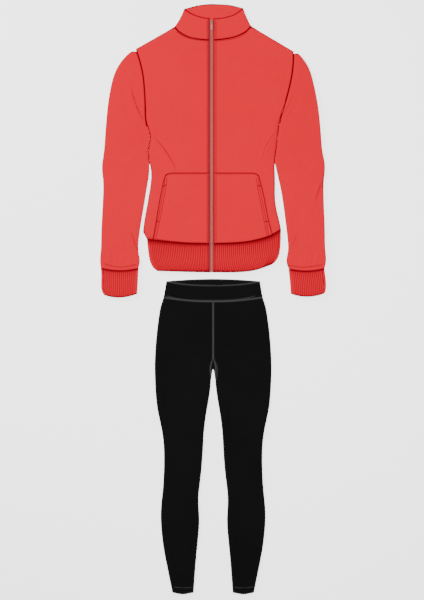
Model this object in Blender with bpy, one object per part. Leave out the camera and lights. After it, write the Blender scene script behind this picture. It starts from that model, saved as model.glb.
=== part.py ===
"""Tracksuit laid flat on a surface: a zip jacket above, leggings below it.

Metres, +Z up. The underside of the cloth lies at z = 0, +X runs to the wearer's left and +Y from
the ankles to the collar. Tables and sizes below are in millimetres, measured from the middle of
the set's outline on the surface it lies on.
"""
import math
from collections import namedtuple

import bmesh
import bpy
import numpy as np
from mathutils.bvhtree import BVHTree

MM = 0.001
SEAM_GAP = 0.3          # between two pieces at a seam, and between cloth that lies on cloth
NECK_GAP = 0.6          # the neck seam curves the most
SIDE_GAP = 0.6          # each side of the line where a sleeve lies against the body

# Cloth walls and the height that the layers take
JACKET_CLOTH = 2.0
RIB_CLOTH = 2.0
COLLAR_CLOTH = 2.6
POCKET_CLOTH = 1.4
LEGGING_CLOTH = 1.3
WAIST_CLOTH = 1.6
JACKET_INSIDE = 2.6     # clear height between back and front along the seams
JACKET_CROWN = 0.7      # how much more the middle of a panel rises
LEGGING_INSIDE = 1.5
LEGGING_CROWN = 1.3
MOST_INSIDE = 3.8       # the layers never stand further apart than this
FOLD_RUN = 7.0          # how far in from a folded edge the top layer has risen

# Zip
ZIP_X = -4.9            # its middle line, a little to the wearer's right
ZIP_OPENING = 11.8      # between the two front edges
ZIP_TOP = 825.0
ZIP_BOTTOM = 79.5
TAPE_THICKNESS = 1.0
TAPE_UNDER_FRONT = 4.0
CHAIN_WIDTH = 5.0
CHAIN_THICKNESS = 2.2
STOP_LENGTH = 6.0
SLIDER = (8.6, 11.0, 3.4)
SLIDER_TOP_Y = 821.0
BRIDGE_WIDTH = 2.2
BRIDGE_WALL = 1.2
BRIDGE_OPENING = (3.4, 2.2)
TAB_BAR_RADIUS = 0.7
TAB_ARM = 1.5
TAB_WINDOW = (3.4, 4.4)
TAB_WIDTH = 6.4
TAB_LENGTH = 24.0

# Ribs
RIB_HEIGHT = 0.8
HEM_RIBS_HALF = 34
CUFF_RIBS = 18

# Where the cloth ends beside the zip, and how wide each half lies
ZIP_EDGE_RIGHT = -10.8
ZIP_EDGE_LEFT = 1.0
BODY_HALF = 190
HEM_HALF_RIGHT = 175
HEM_HALF_LEFT = 185
COLLAR_HALF_RIGHT = 90
COLLAR_HALF_LEFT = 98
WAIST_HALF = 142

Point = namedtuple("Point", "across up")
Fold = namedtuple("Fold", "across up to_across to_up width rise")

# Seams and edges of the jacket, right and left as drawn, because the two differ
SHOULDER_RIGHT = [Point(-114, 802), Point(-228, 737)]
SHOULDER_LEFT = [Point(112, 804), Point(237, 730)]
ARMHOLE_RIGHT = [Point(-200, 534), Point(-200, 569), Point(-202, 611), Point(-206, 658),
                 Point(-215, 699), Point(-228, 737)]
ARMHOLE_LEFT = [Point(202, 546), Point(209, 566), Point(219, 602), Point(230, 646),
                Point(236, 690), Point(237, 730)]
SIDE_RIGHT = [Point(-195, 176), Point(-207, 198), Point(-204, 227), Point(-192, 292), Point(-183, 351),
              Point(-183, 381), Point(-190, 413), Point(-193, 437), Point(-184, 468), Point(-186, 494),
              Point(-198, 519), Point(-200, 534)]
SIDE_LEFT = [Point(200, 205), Point(198, 222), Point(189, 257), Point(183, 292), Point(183, 357),
             Point(181, 407), Point(187, 451), Point(193, 504), Point(195, 525), Point(202, 546)]
NECK_RIGHT = [Point(ZIP_EDGE_RIGHT, 763), Point(-39, 765), Point(-68, 770), Point(-98, 785), Point(-114, 802)]
NECK_LEFT = [Point(ZIP_EDGE_LEFT, 763), Point(32, 766), Point(67, 773), Point(97, 788), Point(112, 804)]
HEM_SEAM_RIGHT = [Point(ZIP_EDGE_RIGHT, 163), Point(-74, 164), Point(-142, 170), Point(-195, 176)]
HEM_SEAM_LEFT = [Point(ZIP_EDGE_LEFT, 163), Point(67, 165), Point(126, 173), Point(168, 186), Point(200, 205)]
HEM_BACK_RIGHT = [Point(ZIP_EDGE_RIGHT, 164), Point(-100, 168), Point(-195, 176)]
HEM_BACK_LEFT = [Point(ZIP_EDGE_LEFT, 164), Point(70, 170), Point(140, 183), Point(200, 205)]
HEM_EDGE_RIGHT = [Point(ZIP_EDGE_RIGHT, 79), Point(-74, 80), Point(-166, 83)]
HEM_EDGE_LEFT = [Point(ZIP_EDGE_LEFT, 79), Point(67, 79), Point(123, 85), Point(174, 102)]
HEM_SIDE_RIGHT = [Point(-166, 83), Point(-183, 90), Point(-191, 109), Point(-192, 139), Point(-194, 176)]
HEM_SIDE_LEFT = [Point(174, 102), Point(196, 118), Point(202, 133), Point(196, 168), Point(199, 205)]
COLLAR_EDGE_RIGHT = [Point(ZIP_EDGE_RIGHT, 827), Point(-33, 830), Point(-62, 840), Point(-86, 855)]
COLLAR_EDGE_LEFT = [Point(ZIP_EDGE_LEFT, 826), Point(32, 829), Point(64, 839), Point(89, 857)]
COLLAR_BACK_RIGHT = [Point(ZIP_EDGE_RIGHT, 870), Point(-45, 866), Point(-86, 855)]
COLLAR_BACK_LEFT = [Point(ZIP_EDGE_LEFT, 870), Point(50, 867), Point(89, 857)]
COLLAR_SIDE_RIGHT = [Point(-114, 802), Point(-96, 830), Point(-86, 855)]
COLLAR_SIDE_LEFT = [Point(112, 804), Point(98, 833), Point(89, 857)]
NECK_BACK_RIGHT = [Point(ZIP_EDGE_RIGHT, 807), Point(-62, 805), Point(-114, 802)]
NECK_BACK_LEFT = [Point(ZIP_EDGE_LEFT, 807), Point(56, 806), Point(112, 804)]
POCKET_TOP_RIGHT = [Point(ZIP_EDGE_RIGHT, 372), Point(-70, 372), Point(-124, 372)]
POCKET_TOP_LEFT = [Point(ZIP_EDGE_LEFT, 372), Point(70, 372), Point(121, 372)]
POCKET_SIDE_RIGHT = [Point(-178, 173.4), Point(-166, 244), Point(-155, 308), Point(-145, 355),
                     Point(-139, 367), Point(-124, 372)]
POCKET_SIDE_LEFT = [Point(172, 188.4), Point(161, 244), Point(149, 308), Point(137, 355),
                    Point(132, 367), Point(121, 372)]

# Sleeves and cuffs: outer edge and inner edge, shoulder first
SLEEVE_OUTER_RIGHT = [Point(-228, 737), Point(-251, 723), Point(-273, 699), Point(-290, 670),
                      Point(-303, 622), Point(-312, 563), Point(-318, 493), Point(-323, 425),
                      Point(-330, 395), Point(-324, 345), Point(-326, 280), Point(-330, 204),
                      Point(-331, 139), Point(-336, 109), Point(-331, 90)]
SLEEVE_INNER_RIGHT = [Point(-200, 534), Point(-198, 519), Point(-186, 494), Point(-184, 468),
                      Point(-193, 437), Point(-190, 413), Point(-186, 381), Point(-191, 348),
                      Point(-202, 280), Point(-213, 215), Point(-221, 145), Point(-212, 109),
                      Point(-220, 89)]
SLEEVE_OUTER_LEFT = [Point(237, 730), Point(255, 721), Point(270, 704), Point(286, 676),
                     Point(300, 622), Point(311, 563), Point(318, 493), Point(323, 428),
                     Point(332, 395), Point(326, 345), Point(327, 280), Point(330, 204),
                     Point(331, 139), Point(336, 109), Point(328, 89)]
SLEEVE_INNER_LEFT = [Point(202, 546), Point(195, 525), Point(193, 504), Point(187, 451),
                     Point(181, 407), Point(187, 375), Point(194, 345), Point(203, 298),
                     Point(214, 215), Point(221, 145), Point(212, 109), Point(222, 88)]
CUFF_OUTER_RIGHT = [Point(-331, 90), Point(-329, 56), Point(-332, 30), Point(-323, 13)]
CUFF_INNER_RIGHT = [Point(-220, 89), Point(-221, 62), Point(-222, 36), Point(-224, 16)]
CUFF_OUTER_LEFT = [Point(328, 89), Point(332, 62), Point(335, 38), Point(330, 18)]
CUFF_INNER_LEFT = [Point(222, 88), Point(225, 62), Point(227, 38), Point(229, 16)]
CAP_SHARE = 0.28        # part of the outer edge that runs beside the armhole
CUFF_SEAM_BOW = 7.0
CUFF_END_BOW = 10.0

# Leggings: outer edge and inner edge of each leg, waist first
LEG_OUTER = [Point(-146, 5), Point(-154, -27), Point(-160, -62), Point(-166, -109), Point(-170, -156),
             Point(-172, -215), Point(-169, -292), Point(-163, -342), Point(-152, -386),
             Point(-145, -440), Point(-145, -516), Point(-149, -575), Point(-155, -634),
             Point(-151, -699), Point(-144, -749), Point(-133, -802), Point(-124, -847),
             Point(-120, -865)]
LEG_SEAM = [Point(0, -7), Point(0, -90), Point(0, -176)]
LEG_GUSSET = [Point(0, -176), Point(-8, -201), Point(-6, -236)]
LEG_INNER = [Point(-6, -236), Point(-10, -280), Point(-18, -322), Point(-27, -386), Point(-30, -445),
             Point(-36, -522), Point(-43, -569), Point(-44, -605), Point(-40, -646), Point(-43, -693),
             Point(-48, -740), Point(-53, -799), Point(-58, -865)]
WAIST_SEAM = [Point(0, -7), Point(-51, -6), Point(-104, -1), Point(-146, 5)]
WAIST_FRONT = [Point(0, 40), Point(-51, 41), Point(-98, 45), Point(-138, 52)]
WAIST_BACK = [Point(0, 59), Point(-70, 57), Point(-138, 52)]
WAIST_SIDE = [Point(-146, 5), Point(-142, 30), Point(-138, 52)]
ANKLE = [Point(-120, -865), Point(-90, -870.5), Point(-58, -865)]
GUSSET_ARCH = -206.0

# Largest folds, a row for each: a negative rise is a trough
FOLDS_RIGHT_FRONT = [
    Fold(-177, 479, -113, 386, 9, -1.5), Fold(-186, 500, -140, 452, 12, 1.2),
    Fold(-150, 560, -196, 548, 14, -1.0), Fold(-60, 640, -40, 470, 26, -0.8)]
FOLDS_LEFT_FRONT = [
    Fold(186, 502, 121, 416, 9, -1.5), Fold(190, 470, 140, 420, 12, 1.2),
    Fold(190, 580, 150, 560, 14, -1.0), Fold(70, 620, 44, 450, 26, -0.8)]
FOLDS_RIGHT_SLEEVE = [
    Fold(-242, 622, -201, 525, 8, -1.6), Fold(-262, 610, -222, 510, 12, 0.9),
    Fold(-200, 455, -262, 430, 11, -1.3), Fold(-322, 400, -262, 380, 11, -1.4),
    Fold(-318, 372, -262, 352, 13, 0.9), Fold(-241, 193, -225, 150, 8, -1.5),
    Fold(-322, 125, -262, 118, 9, -1.2), Fold(-262, 300, -250, 210, 16, -0.9)]
FOLDS_LEFT_SLEEVE = [
    Fold(239, 622, 197, 534, 8, -1.6), Fold(262, 606, 222, 512, 12, 0.9),
    Fold(196, 440, 262, 420, 11, -1.3), Fold(324, 351, 300, 289, 9, -1.6),
    Fold(322, 398, 262, 378, 12, -1.2), Fold(246, 193, 228, 145, 8, -1.5),
    Fold(322, 125, 262, 118, 9, -1.2), Fold(262, 300, 250, 210, 16, -0.9)]
FOLDS_LEG = [
    Fold(-150, -40, -60, -110, 16, 0.8), Fold(-8, -150, -90, -195, 14, -0.9),
    Fold(-20, -215, -110, -250, 16, 0.7), Fold(-140, -430, -60, -452, 14, -0.9),
    Fold(-138, -470, -70, -486, 14, 0.7), Fold(-146, -700, -70, -728, 14, -0.8),
    Fold(-130, -815, -70, -830, 10, -0.8)]

RED = (0.80, 0.065, 0.070)
RIB_RED = (0.62, 0.050, 0.055)
ZIP_RED = (0.52, 0.125, 0.115)
TRIM_RED = (0.60, 0.10, 0.095)
BLACK = (0.008, 0.008, 0.009)
MATERIALS = {"jacket_cloth": (RED, 0.75, 0.0), "jacket_rib": (RIB_RED, 0.85, 0.0),
             "zip_tape": (ZIP_RED, 0.85, 0.0), "zip_plastic": (TRIM_RED, 0.45, 0.0),
             "legging_cloth": (BLACK, 0.65, 0.0)}


def smooth_line(rows, pieces=12):
    """Points along a smooth curve through a table's rows, close together."""
    points = [np.array(row[:2], float) for row in rows]
    if len(points) == 2:
        steps = np.linspace(0, 1, pieces + 1)[:, None]
        return points[0] * (1 - steps) + points[1] * steps
    padded = [2 * points[0] - points[1]] + points + [2 * points[-1] - points[-2]]
    line = []
    for before, start, end, after in zip(padded, padded[1:], padded[2:], padded[3:]):
        for step in range(pieces):
            t = step / pieces
            line.append(0.5 * (2 * start + (end - before) * t
                               + (2 * before - 5 * start + 4 * end - after) * t ** 2
                               + (3 * start - before - 3 * end + after) * t ** 3))
    line.append(points[-1])
    return np.array(line)


def along(line, fractions):
    """Points at the given fractions of a line's length."""
    steps = np.linalg.norm(np.diff(line, axis=0), axis=1)
    length = np.concatenate([[0], np.cumsum(steps)])
    wanted = np.asarray(fractions) * length[-1]
    return np.stack([np.interp(wanted, length, line[:, k]) for k in range(line.shape[1])], axis=1)


def shifted(line, distance):
    """A line moved sideways, to its left for a positive distance."""
    way = np.gradient(line, axis=0)
    way /= np.linalg.norm(way, axis=1)[:, None]
    return line + distance * np.stack([-way[:, 1], way[:, 0]], axis=1)


def edge_points(rows, fractions, gap=0.0):
    return along(shifted(smooth_line(rows), gap), fractions)


def two_edges(first, second, share, fractions, gap_first=0.0, gap_second=0.0):
    """Points along two edges that follow each other, the first one taking its share."""
    fractions = np.asarray(fractions)
    on_first = edge_points(first, np.clip(fractions / share, 0, 1), gap_first)
    on_second = edge_points(second, np.clip((fractions - share) / (1 - share), 0, 1), gap_second)
    return np.where((fractions <= share + 1e-9)[:, None], on_first, on_second)


def patch(low, high, near, far, across, up):
    """Plan points of a panel from its four edges: low and high run across, near and far run up."""
    s = np.asarray(across)[None, :, None]
    t = np.asarray(up)[:, None, None]
    ruled = (1 - t) * low[None] + t * high[None] + (1 - s) * near[:, None] + s * far[:, None]
    corners = ((1 - s) * (1 - t) * low[0] + s * (1 - t) * low[-1]
               + (1 - s) * t * high[0] + s * t * high[-1])
    return ruled - corners


def fold_rise(plan, folds):
    """How much the folds lift or sink the cloth at each plan point."""
    rise = np.zeros(plan.shape[:-1])
    for fold in folds:
        start = np.array([fold.across, fold.up], float)
        run = np.array([fold.to_across, fold.to_up], float) - start
        place = np.clip(((plan - start) @ run) / (run @ run), 0, 1)
        gap = np.linalg.norm(plan - start - place[..., None] * run, axis=-1)
        taper = np.sin(math.pi * (0.08 + 0.84 * place)) ** 0.8
        rise += fold.rise * taper * np.exp(-(gap / fold.width) ** 2)
    return rise


def add_material(name):
    colour, roughness, metallic = MATERIALS[name]
    material = bpy.data.materials.get(name) or bpy.data.materials.new(name)
    material.use_nodes = True
    shader = material.node_tree.nodes["Principled BSDF"]
    shader.inputs["Base Color"].default_value = (*colour, 1.0)
    shader.inputs["Roughness"].default_value = roughness
    shader.inputs["Metallic"].default_value = metallic
    material.diffuse_color = (*colour, 1.0)
    return material


def grid_faces(rows, columns, closed=False):
    """Quads of a grid of points numbered row by row, as a ring if it is closed."""
    last = columns if closed else columns - 1
    return [(r * columns + c, r * columns + (c + 1) % columns,
             (r + 1) * columns + (c + 1) % columns, (r + 1) * columns + c)
            for r in range(rows - 1) for c in range(last)]


def cloth(name, faces, outer, inner, material, collection):
    """A wall between an outer and an inner skin with the same faces, closed along its edges."""
    outer = np.asarray(outer).reshape(-1, 3) * MM
    inner = np.asarray(inner).reshape(-1, 3) * MM
    count = len(outer)
    used = {}
    for face in faces:
        for start, end in zip(face, face[1:] + face[:1]):
            used[(start, end)] = True
    rim = [(end, start) for start, end in used if (end, start) not in used]
    bm = bmesh.new()
    verts = [bm.verts.new(point) for point in np.concatenate([outer, inner])]
    for face in faces:
        bm.faces.new([verts[i] for i in face])
        bm.faces.new([verts[i + count] for i in reversed(face)])
    for start, end in rim:
        bm.faces.new([verts[start], verts[end], verts[end + count], verts[start + count]])
    loose = [vert for vert in bm.verts if not vert.link_faces]
    bmesh.ops.delete(bm, geom=loose, context="VERTS")
    bmesh.ops.recalc_face_normals(bm, faces=bm.faces)
    return finish(name, bm, material, collection)


def finish(name, bm, material, collection):
    mesh = bpy.data.meshes.new(name)
    bm.to_mesh(mesh)
    bm.free()
    mesh.materials.append(add_material(material))
    mesh.shade_smooth()
    mesh.set_sharp_from_angle(angle=math.radians(40))
    piece = bpy.data.objects.new(name, mesh)
    collection.objects.link(piece)
    return piece


def box(name, low, high, material, collection, bevel=0.0):
    """A box between two corners in millimetres."""
    low, high = np.array(low) * MM, np.array(high) * MM
    bm = bmesh.new()
    bmesh.ops.create_cube(bm, size=1.0)
    for vert in bm.verts:
        vert.co = tuple((low + high) / 2 + np.array(vert.co) * (high - low))
    if bevel:
        bmesh.ops.bevel(bm, geom=bm.edges[:], offset=bevel * MM, segments=2, profile=0.5,
                        affect="EDGES")
    return finish(name, bm, material, collection)


def arch(distance, run):
    """Sine and cosine of the turn of a folded edge, at a distance in from it."""
    reach = np.clip(1 - distance / run, 0, 1)
    return np.sqrt(1 - reach ** 2), reach


def top_panel(plan, base, inside, crown, wall, folds, ends, run=FOLD_RUN):
    """Outer and inner skin of a panel that lies on another one.

    ends gives, for the near, far, low and high edge, how far each point of the panel is folded
    down there: 1 where the cloth turns down to meet the layer below, 0 where it meets a seam.
    """
    rows, columns = plan.shape[:2]
    middle_s = np.linspace(0, 1, columns)[None, :]
    middle_t = np.linspace(0, 1, rows)[:, None]
    hump = np.sin(math.pi * middle_s) ** 0.6 * np.sin(math.pi * middle_t) ** 0.5
    rise = fold_rise(plan, folds)
    under = np.minimum(inside + crown * hump + rise, MOST_INSIDE)
    over = np.maximum(inside + crown * hump + rise + wall, under + 0.8 * wall)
    lines = {"near": plan[:, :1], "far": plan[:, -1:], "low": plan[:1], "high": plan[-1:]}
    outer_height = over.copy()
    inner_height = under.copy()
    inner_plan = plan.copy()
    for edge, folded in ends.items():
        away = plan - lines[edge]
        distance = np.linalg.norm(away, axis=-1)
        folded = np.asarray(folded, float)
        folded = folded[:, None] if edge in ("near", "far") else folded[None, :]
        lift, lean = arch(distance, run)
        keep = 1 - folded * (1 - lift)
        outer_height *= keep
        inner_height *= keep
        inward = inward_way(plan, edge)
        inner_plan = inner_plan + inward * (wall * lean * folded)[..., None]
    outer = np.dstack([plan, base + outer_height])
    inner = np.dstack([inner_plan, base + inner_height])
    return outer, inner


def inward_way(plan, edge):
    """Unit directions in plan that lead into a panel from one of its edges."""
    if edge in ("near", "far"):
        way = np.gradient(plan, axis=1)
        way = way if edge == "near" else -way
    else:
        way = np.gradient(plan, axis=0)
        way = way if edge == "low" else -way
    return way / np.maximum(np.linalg.norm(way, axis=-1, keepdims=True), 1e-9)


def flat_panel(plan, low, wall):
    """Outer and inner skin of a panel that lies flat on the surface."""
    level = np.zeros(plan.shape[:2])
    return np.dstack([plan, level + low + wall]), np.dstack([plan, level + low])


EDGE_STEPS = [1.0 - inset / BODY_HALF for inset in (7.0, 3.4, 0.9, 0.0)]
NECK_SHARE = 0.46
BODY_COLUMNS = np.array([0, 0.12, 0.22, 0.30, 0.36, 0.41, NECK_SHARE, 0.57, 0.69, 0.80, 0.89]
                        + EDGE_STEPS)
SIDE_SHARE = 0.63
SIDE_ROWS = 15
ARMHOLE_STEPS = np.array([0.16, 0.32, 0.48, 0.64, 0.80, 0.92])
ARMHOLE_ROWS = SIDE_SHARE + (1 - SIDE_SHARE) * ARMHOLE_STEPS
SIDE_SPREAD = np.arange(SIDE_ROWS + 1) / SIDE_ROWS * SIDE_SHARE
BODY_ROWS = np.concatenate([SIDE_SPREAD, ARMHOLE_ROWS, [0.989, 0.9955, 0.9985, 1.0]])


def smooth_step(value):
    value = np.clip(value, 0, 1)
    return value * value * (3 - 2 * value)


def front_plan(neck, shoulder, side, armhole, seam, sign):
    """Plan points of one front, from the zip to the side and from the hem to the shoulder."""
    low = edge_points(seam, BODY_COLUMNS, -sign * SEAM_GAP / 2)
    low[0, 0] = seam[0].across
    high = two_edges(neck, shoulder, NECK_SHARE, BODY_COLUMNS, sign * SEAM_GAP / 2, 0.0)
    high[0, 0] = neck[0].across
    far = two_edges(side, armhole, SIDE_SHARE, BODY_ROWS, -sign * SIDE_GAP, -sign * SEAM_GAP / 2)
    near = np.stack([np.full(len(BODY_ROWS), neck[0].across),
                     low[0, 1] + (high[0, 1] - low[0, 1]) * BODY_ROWS], axis=1)
    far[0], far[-1] = low[-1], high[-1]
    return patch(low, high, near, far, BODY_COLUMNS, BODY_ROWS)


def build_front(name, plan, folds, collection):
    side_fold = 1 - smooth_step((BODY_ROWS - SIDE_SHARE) / 0.04)
    shoulder_fold = smooth_step((BODY_COLUMNS - NECK_SHARE) / 0.06)
    base = JACKET_CLOTH + SEAM_GAP
    outer, inner = top_panel(plan, base, JACKET_INSIDE, JACKET_CROWN, JACKET_CLOTH, folds,
                             {"far": side_fold, "high": shoulder_fold})
    faces = grid_faces(*plan.shape[:2])
    return cloth(name, faces, outer, inner, "jacket_cloth", collection)


def back_plan():
    """Plan points of the back panel, from the right side to the left and from hem to shoulders."""
    share = 0.27
    neck_across = np.linspace(share, 1 - share, 7)
    across = np.concatenate([[0, 0.09, 0.18], neck_across, [0.80, 0.87, 0.94, 1]])
    hem = np.concatenate([smooth_line(HEM_BACK_RIGHT)[::-1], smooth_line(HEM_BACK_LEFT)])
    low = along(shifted(hem, SEAM_GAP / 2), across)
    shoulder_right = smooth_line(SHOULDER_RIGHT)[::-1]
    shoulder_left = smooth_line(SHOULDER_LEFT)
    neck = np.concatenate([smooth_line(NECK_BACK_RIGHT)[::-1], smooth_line(NECK_BACK_LEFT)])
    neck = shifted(neck, -SEAM_GAP / 2)
    high = np.where((across < share)[:, None], along(shoulder_right, np.clip(across / share, 0, 1)),
                    along(neck, np.clip((across - share) / (1 - 2 * share), 0, 1)))
    high = np.where((across > 1 - share)[:, None],
                    along(shoulder_left, np.clip((across - 1 + share) / share, 0, 1)), high)
    rows = np.concatenate([SIDE_SPREAD, ARMHOLE_ROWS, [1]])
    near = two_edges(SIDE_RIGHT, ARMHOLE_RIGHT, SIDE_SHARE, rows, -SIDE_GAP, -SEAM_GAP / 2)
    far = two_edges(SIDE_LEFT, ARMHOLE_LEFT, SIDE_SHARE, rows, SIDE_GAP, SEAM_GAP / 2)
    near[0], near[-1], far[0], far[-1] = low[0], high[0], low[-1], high[-1]
    return patch(low, high, near, far, across, rows)


def build_back(collection):
    plan = back_plan()
    outer, inner = flat_panel(plan, 0.0, JACKET_CLOTH)
    return cloth("jacket_back", grid_faces(*plan.shape[:2]), outer, inner, "jacket_cloth", collection)


FOLD_TURNS = [50, 0, -50]


def tube(name, outer_line, inner_line, open_rows, wall, inside, crown, folds, bows, steps,
         material, collection, ribs=0):
    """A flattened tube of cloth, a row for each pair of edge points.

    The first open_rows rows are open towards the inner edge, where the armhole is. steps gives
    the number of columns over the top layer and over the layer below.
    """
    radius = wall + inside / 2
    small = radius - wall
    top_steps, under_steps = steps
    turns = np.radians(FOLD_TURNS)
    outer_rows, inner_rows = [], []
    for row, (outer_end, inner_end, bow) in enumerate(zip(outer_line, inner_line, bows)):
        width = np.linalg.norm(inner_end - outer_end)
        start = 1.0 if row < open_rows else 1 - radius / width
        top = np.linspace(start, radius / width, top_steps + 1)
        under = np.linspace(radius / width, start, under_steps + 1)
        hump = np.sin(math.pi * np.linspace(0, 1, top_steps + 1)) ** 0.6
        fold_out = radius * (1 - np.cos(turns)) / width
        fold_in = (radius - small * np.cos(turns)) / width
        outer_across = np.concatenate([top, fold_out, under, 1 - fold_out[::-1]])
        inner_across = np.concatenate([top, fold_in, under, 1 - fold_in[::-1]])
        rows_plan = []
        for across in (outer_across, inner_across):
            plan = outer_end + (inner_end - outer_end) * across[:, None]
            plan[:, 1] -= bow * 4 * across * (1 - across)
            rows_plan.append(plan)
        rise = crown * hump + fold_rise(rows_plan[0][:top_steps + 1], folds)
        under_height = np.minimum(wall + inside + rise, wall + MOST_INSIDE)
        over_height = np.maximum(2 * wall + inside + rise, under_height + 0.8 * wall)
        if ribs:
            over_height = over_height + RIB_HEIGHT * (np.arange(top_steps + 1) % 2)
        turn_over = radius + radius * np.sin(turns)
        turn_under = radius + small * np.sin(turns)
        outer_height = np.concatenate([over_height, turn_over, np.zeros(under_steps + 1), turn_over[::-1]])
        inner_height = np.concatenate([under_height, turn_under, np.full(under_steps + 1, wall),
                                       turn_under[::-1]])
        outer_rows.append(np.column_stack([rows_plan[0], outer_height]))
        inner_rows.append(np.column_stack([rows_plan[1], inner_height]))
    outer, inner = np.array(outer_rows), np.array(inner_rows)
    rows, columns = outer.shape[:2]
    ring = columns - len(turns)
    faces = []
    for face in grid_faces(rows, columns, closed=True):
        row, column = divmod(face[0], columns)
        if row < open_rows and column >= ring - 1:
            continue
        faces.append(face)
    return cloth(name, faces, outer, inner, material, collection)


def build_sleeve(name, outer_rows, inner_rows, armhole, folds, sign, collection):
    """A sleeve: its first rows follow the armhole, the others close into a tube."""
    cap = np.concatenate([[0.04], 1 - ARMHOLE_STEPS[::-1], [1]])
    arm = np.linspace(0, 1, 19)[1:]
    outer = np.concatenate([edge_points(outer_rows, 0.012 + cap * (CAP_SHARE - 0.012)),
                            edge_points(outer_rows, CAP_SHARE + arm * (1 - CAP_SHARE))])
    seam = edge_points(armhole, 1 - cap, sign * SEAM_GAP / 2)
    inner = edge_points(inner_rows, arm, -sign * SIDE_GAP)
    bows = np.concatenate([np.zeros(len(cap)), CUFF_SEAM_BOW * smooth_step((arm - 0.75) / 0.25)])
    outer[-1, 1] += SEAM_GAP / 2
    inner[-1, 1] += SEAM_GAP / 2
    return tube(name, outer, np.concatenate([seam, inner]), len(cap), JACKET_CLOTH, JACKET_INSIDE,
                JACKET_CROWN, folds, bows, (7, 3), "jacket_cloth", collection)


def build_cuff(name, outer_rows, inner_rows, collection):
    rows = np.array([0, 0.35, 0.75, 1])
    outer = edge_points(outer_rows, rows)
    inner = edge_points(inner_rows, rows)
    outer[0, 1] -= SEAM_GAP / 2
    inner[0, 1] -= SEAM_GAP / 2
    bows = CUFF_SEAM_BOW + (CUFF_END_BOW - CUFF_SEAM_BOW) * rows
    return tube(name, outer, inner, 0, RIB_CLOTH, JACKET_INSIDE, 0.4, [], bows,
                (2 * CUFF_RIBS, 3), "jacket_rib", collection, ribs=CUFF_RIBS)


def band_half(low, high, start_line, side, across, rows):
    """Plan points of half a band, from its middle to its folded side, low edge first."""
    low_points = edge_points(low, across)
    high_points = edge_points(high, across)
    near = np.stack([np.linspace(low_points[0, k], high_points[0, k], len(rows)) for k in (0, 1)], axis=1)
    if start_line is not None:
        near[:, 0] = start_line
        low_points[0, 0] = high_points[0, 0] = start_line
    far = edge_points(side, rows)
    far[0], far[-1] = low_points[-1], high_points[-1]
    return patch(low_points, high_points, near, far, across, rows)


def band(name, halves, wall, inside, crown, rows, columns, rib_rise, closed, material, collection):
    """A strip folded flat at both sides.

    halves holds the plan edges of the right and of the left half: low, high, low of the back,
    high of the back, side, the line it starts from and its mean width.
    """
    radius = wall + inside / 2
    small = radius - wall
    turns = np.radians(FOLD_TURNS)
    over_steps, under_steps = columns
    rows = np.asarray(rows)
    skins = []
    for low, high, low_back, high_back, side, start, width in halves:
        edge = 1 - radius / width
        over = np.linspace(0, edge, over_steps + 1)
        under = np.linspace(edge, 0, under_steps + 1)
        hump = np.sin(math.pi / 2 * np.linspace(0, 1, over_steps + 1) ** 3)
        top = wall * 2 + inside + crown * (1 - hump)
        ribbed = top + rib_rise * (np.arange(over_steps + 1) % 2)
        level = np.zeros(under_steps + 1)
        parts = []
        for reach, lower, upper, height in ((radius, 0.0, 1, ribbed), (small, wall, 0, top - wall)):
            fold = 1 - (radius - reach * np.cos(turns)) / width
            front = band_half(low, high, start, side, np.concatenate([over, fold[:1], [1.0]]), rows)
            back = band_half(low_back, high_back, start, side,
                             np.concatenate([under[::-1], fold[1:][::-1], [1.0]]), rows)
            plan = np.concatenate([front[:, :-1], back[:, :-1][:, ::-1]], axis=1)
            heights = np.concatenate([height, radius + reach * np.sin(turns), level + lower])
            parts.append(np.dstack([plan, np.broadcast_to(heights, plan.shape[:2])]))
        skins.append(parts)
    joined = []
    for right, left in zip(*skins):
        left = left[:, ::-1]
        if closed:
            left = left[:, 1:-1]
        joined.append(np.concatenate([right, left], axis=1))
    faces = grid_faces(*joined[0].shape[:2], closed=closed)
    return cloth(name, faces, joined[0], joined[1], material, collection)


def moved(rows, gap):
    return [Point(row.across, row.up + gap) for row in rows]


def build_hem(collection):
    seam_right = moved(HEM_SEAM_RIGHT, -SEAM_GAP)
    seam_left = moved(HEM_SEAM_LEFT, -SEAM_GAP)
    back_right = moved(HEM_BACK_RIGHT, -2 * SEAM_GAP)
    back_left = moved(HEM_BACK_LEFT, -2 * SEAM_GAP)
    halves = [(HEM_EDGE_RIGHT, seam_right, HEM_EDGE_RIGHT, back_right, HEM_SIDE_RIGHT,
               ZIP_EDGE_RIGHT, HEM_HALF_RIGHT),
              (HEM_EDGE_LEFT, seam_left, HEM_EDGE_LEFT, back_left, HEM_SIDE_LEFT,
               ZIP_EDGE_LEFT, HEM_HALF_LEFT)]
    return band("hem_band", halves, RIB_CLOTH, JACKET_INSIDE, 0.3, (0, 0.28, 1), (2 * HEM_RIBS_HALF, 6),
                RIB_HEIGHT, False, "jacket_rib", collection)


def build_collar(collection):
    low = [moved(NECK_RIGHT, NECK_GAP), moved(NECK_LEFT, NECK_GAP)]
    back = [moved(NECK_BACK_RIGHT, NECK_GAP), moved(NECK_BACK_LEFT, NECK_GAP)]
    halves = [(low[0], COLLAR_EDGE_RIGHT, back[0], COLLAR_BACK_RIGHT, COLLAR_SIDE_RIGHT,
               ZIP_EDGE_RIGHT, COLLAR_HALF_RIGHT),
              (low[1], COLLAR_EDGE_LEFT, back[1], COLLAR_BACK_LEFT, COLLAR_SIDE_LEFT,
               ZIP_EDGE_LEFT, COLLAR_HALF_LEFT)]
    return band("collar", halves, COLLAR_CLOTH, 1.6, 0.6, (0, 0.35, 0.7, 1), (11, 5), 0.0, False, "jacket_cloth",
                collection)


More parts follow.
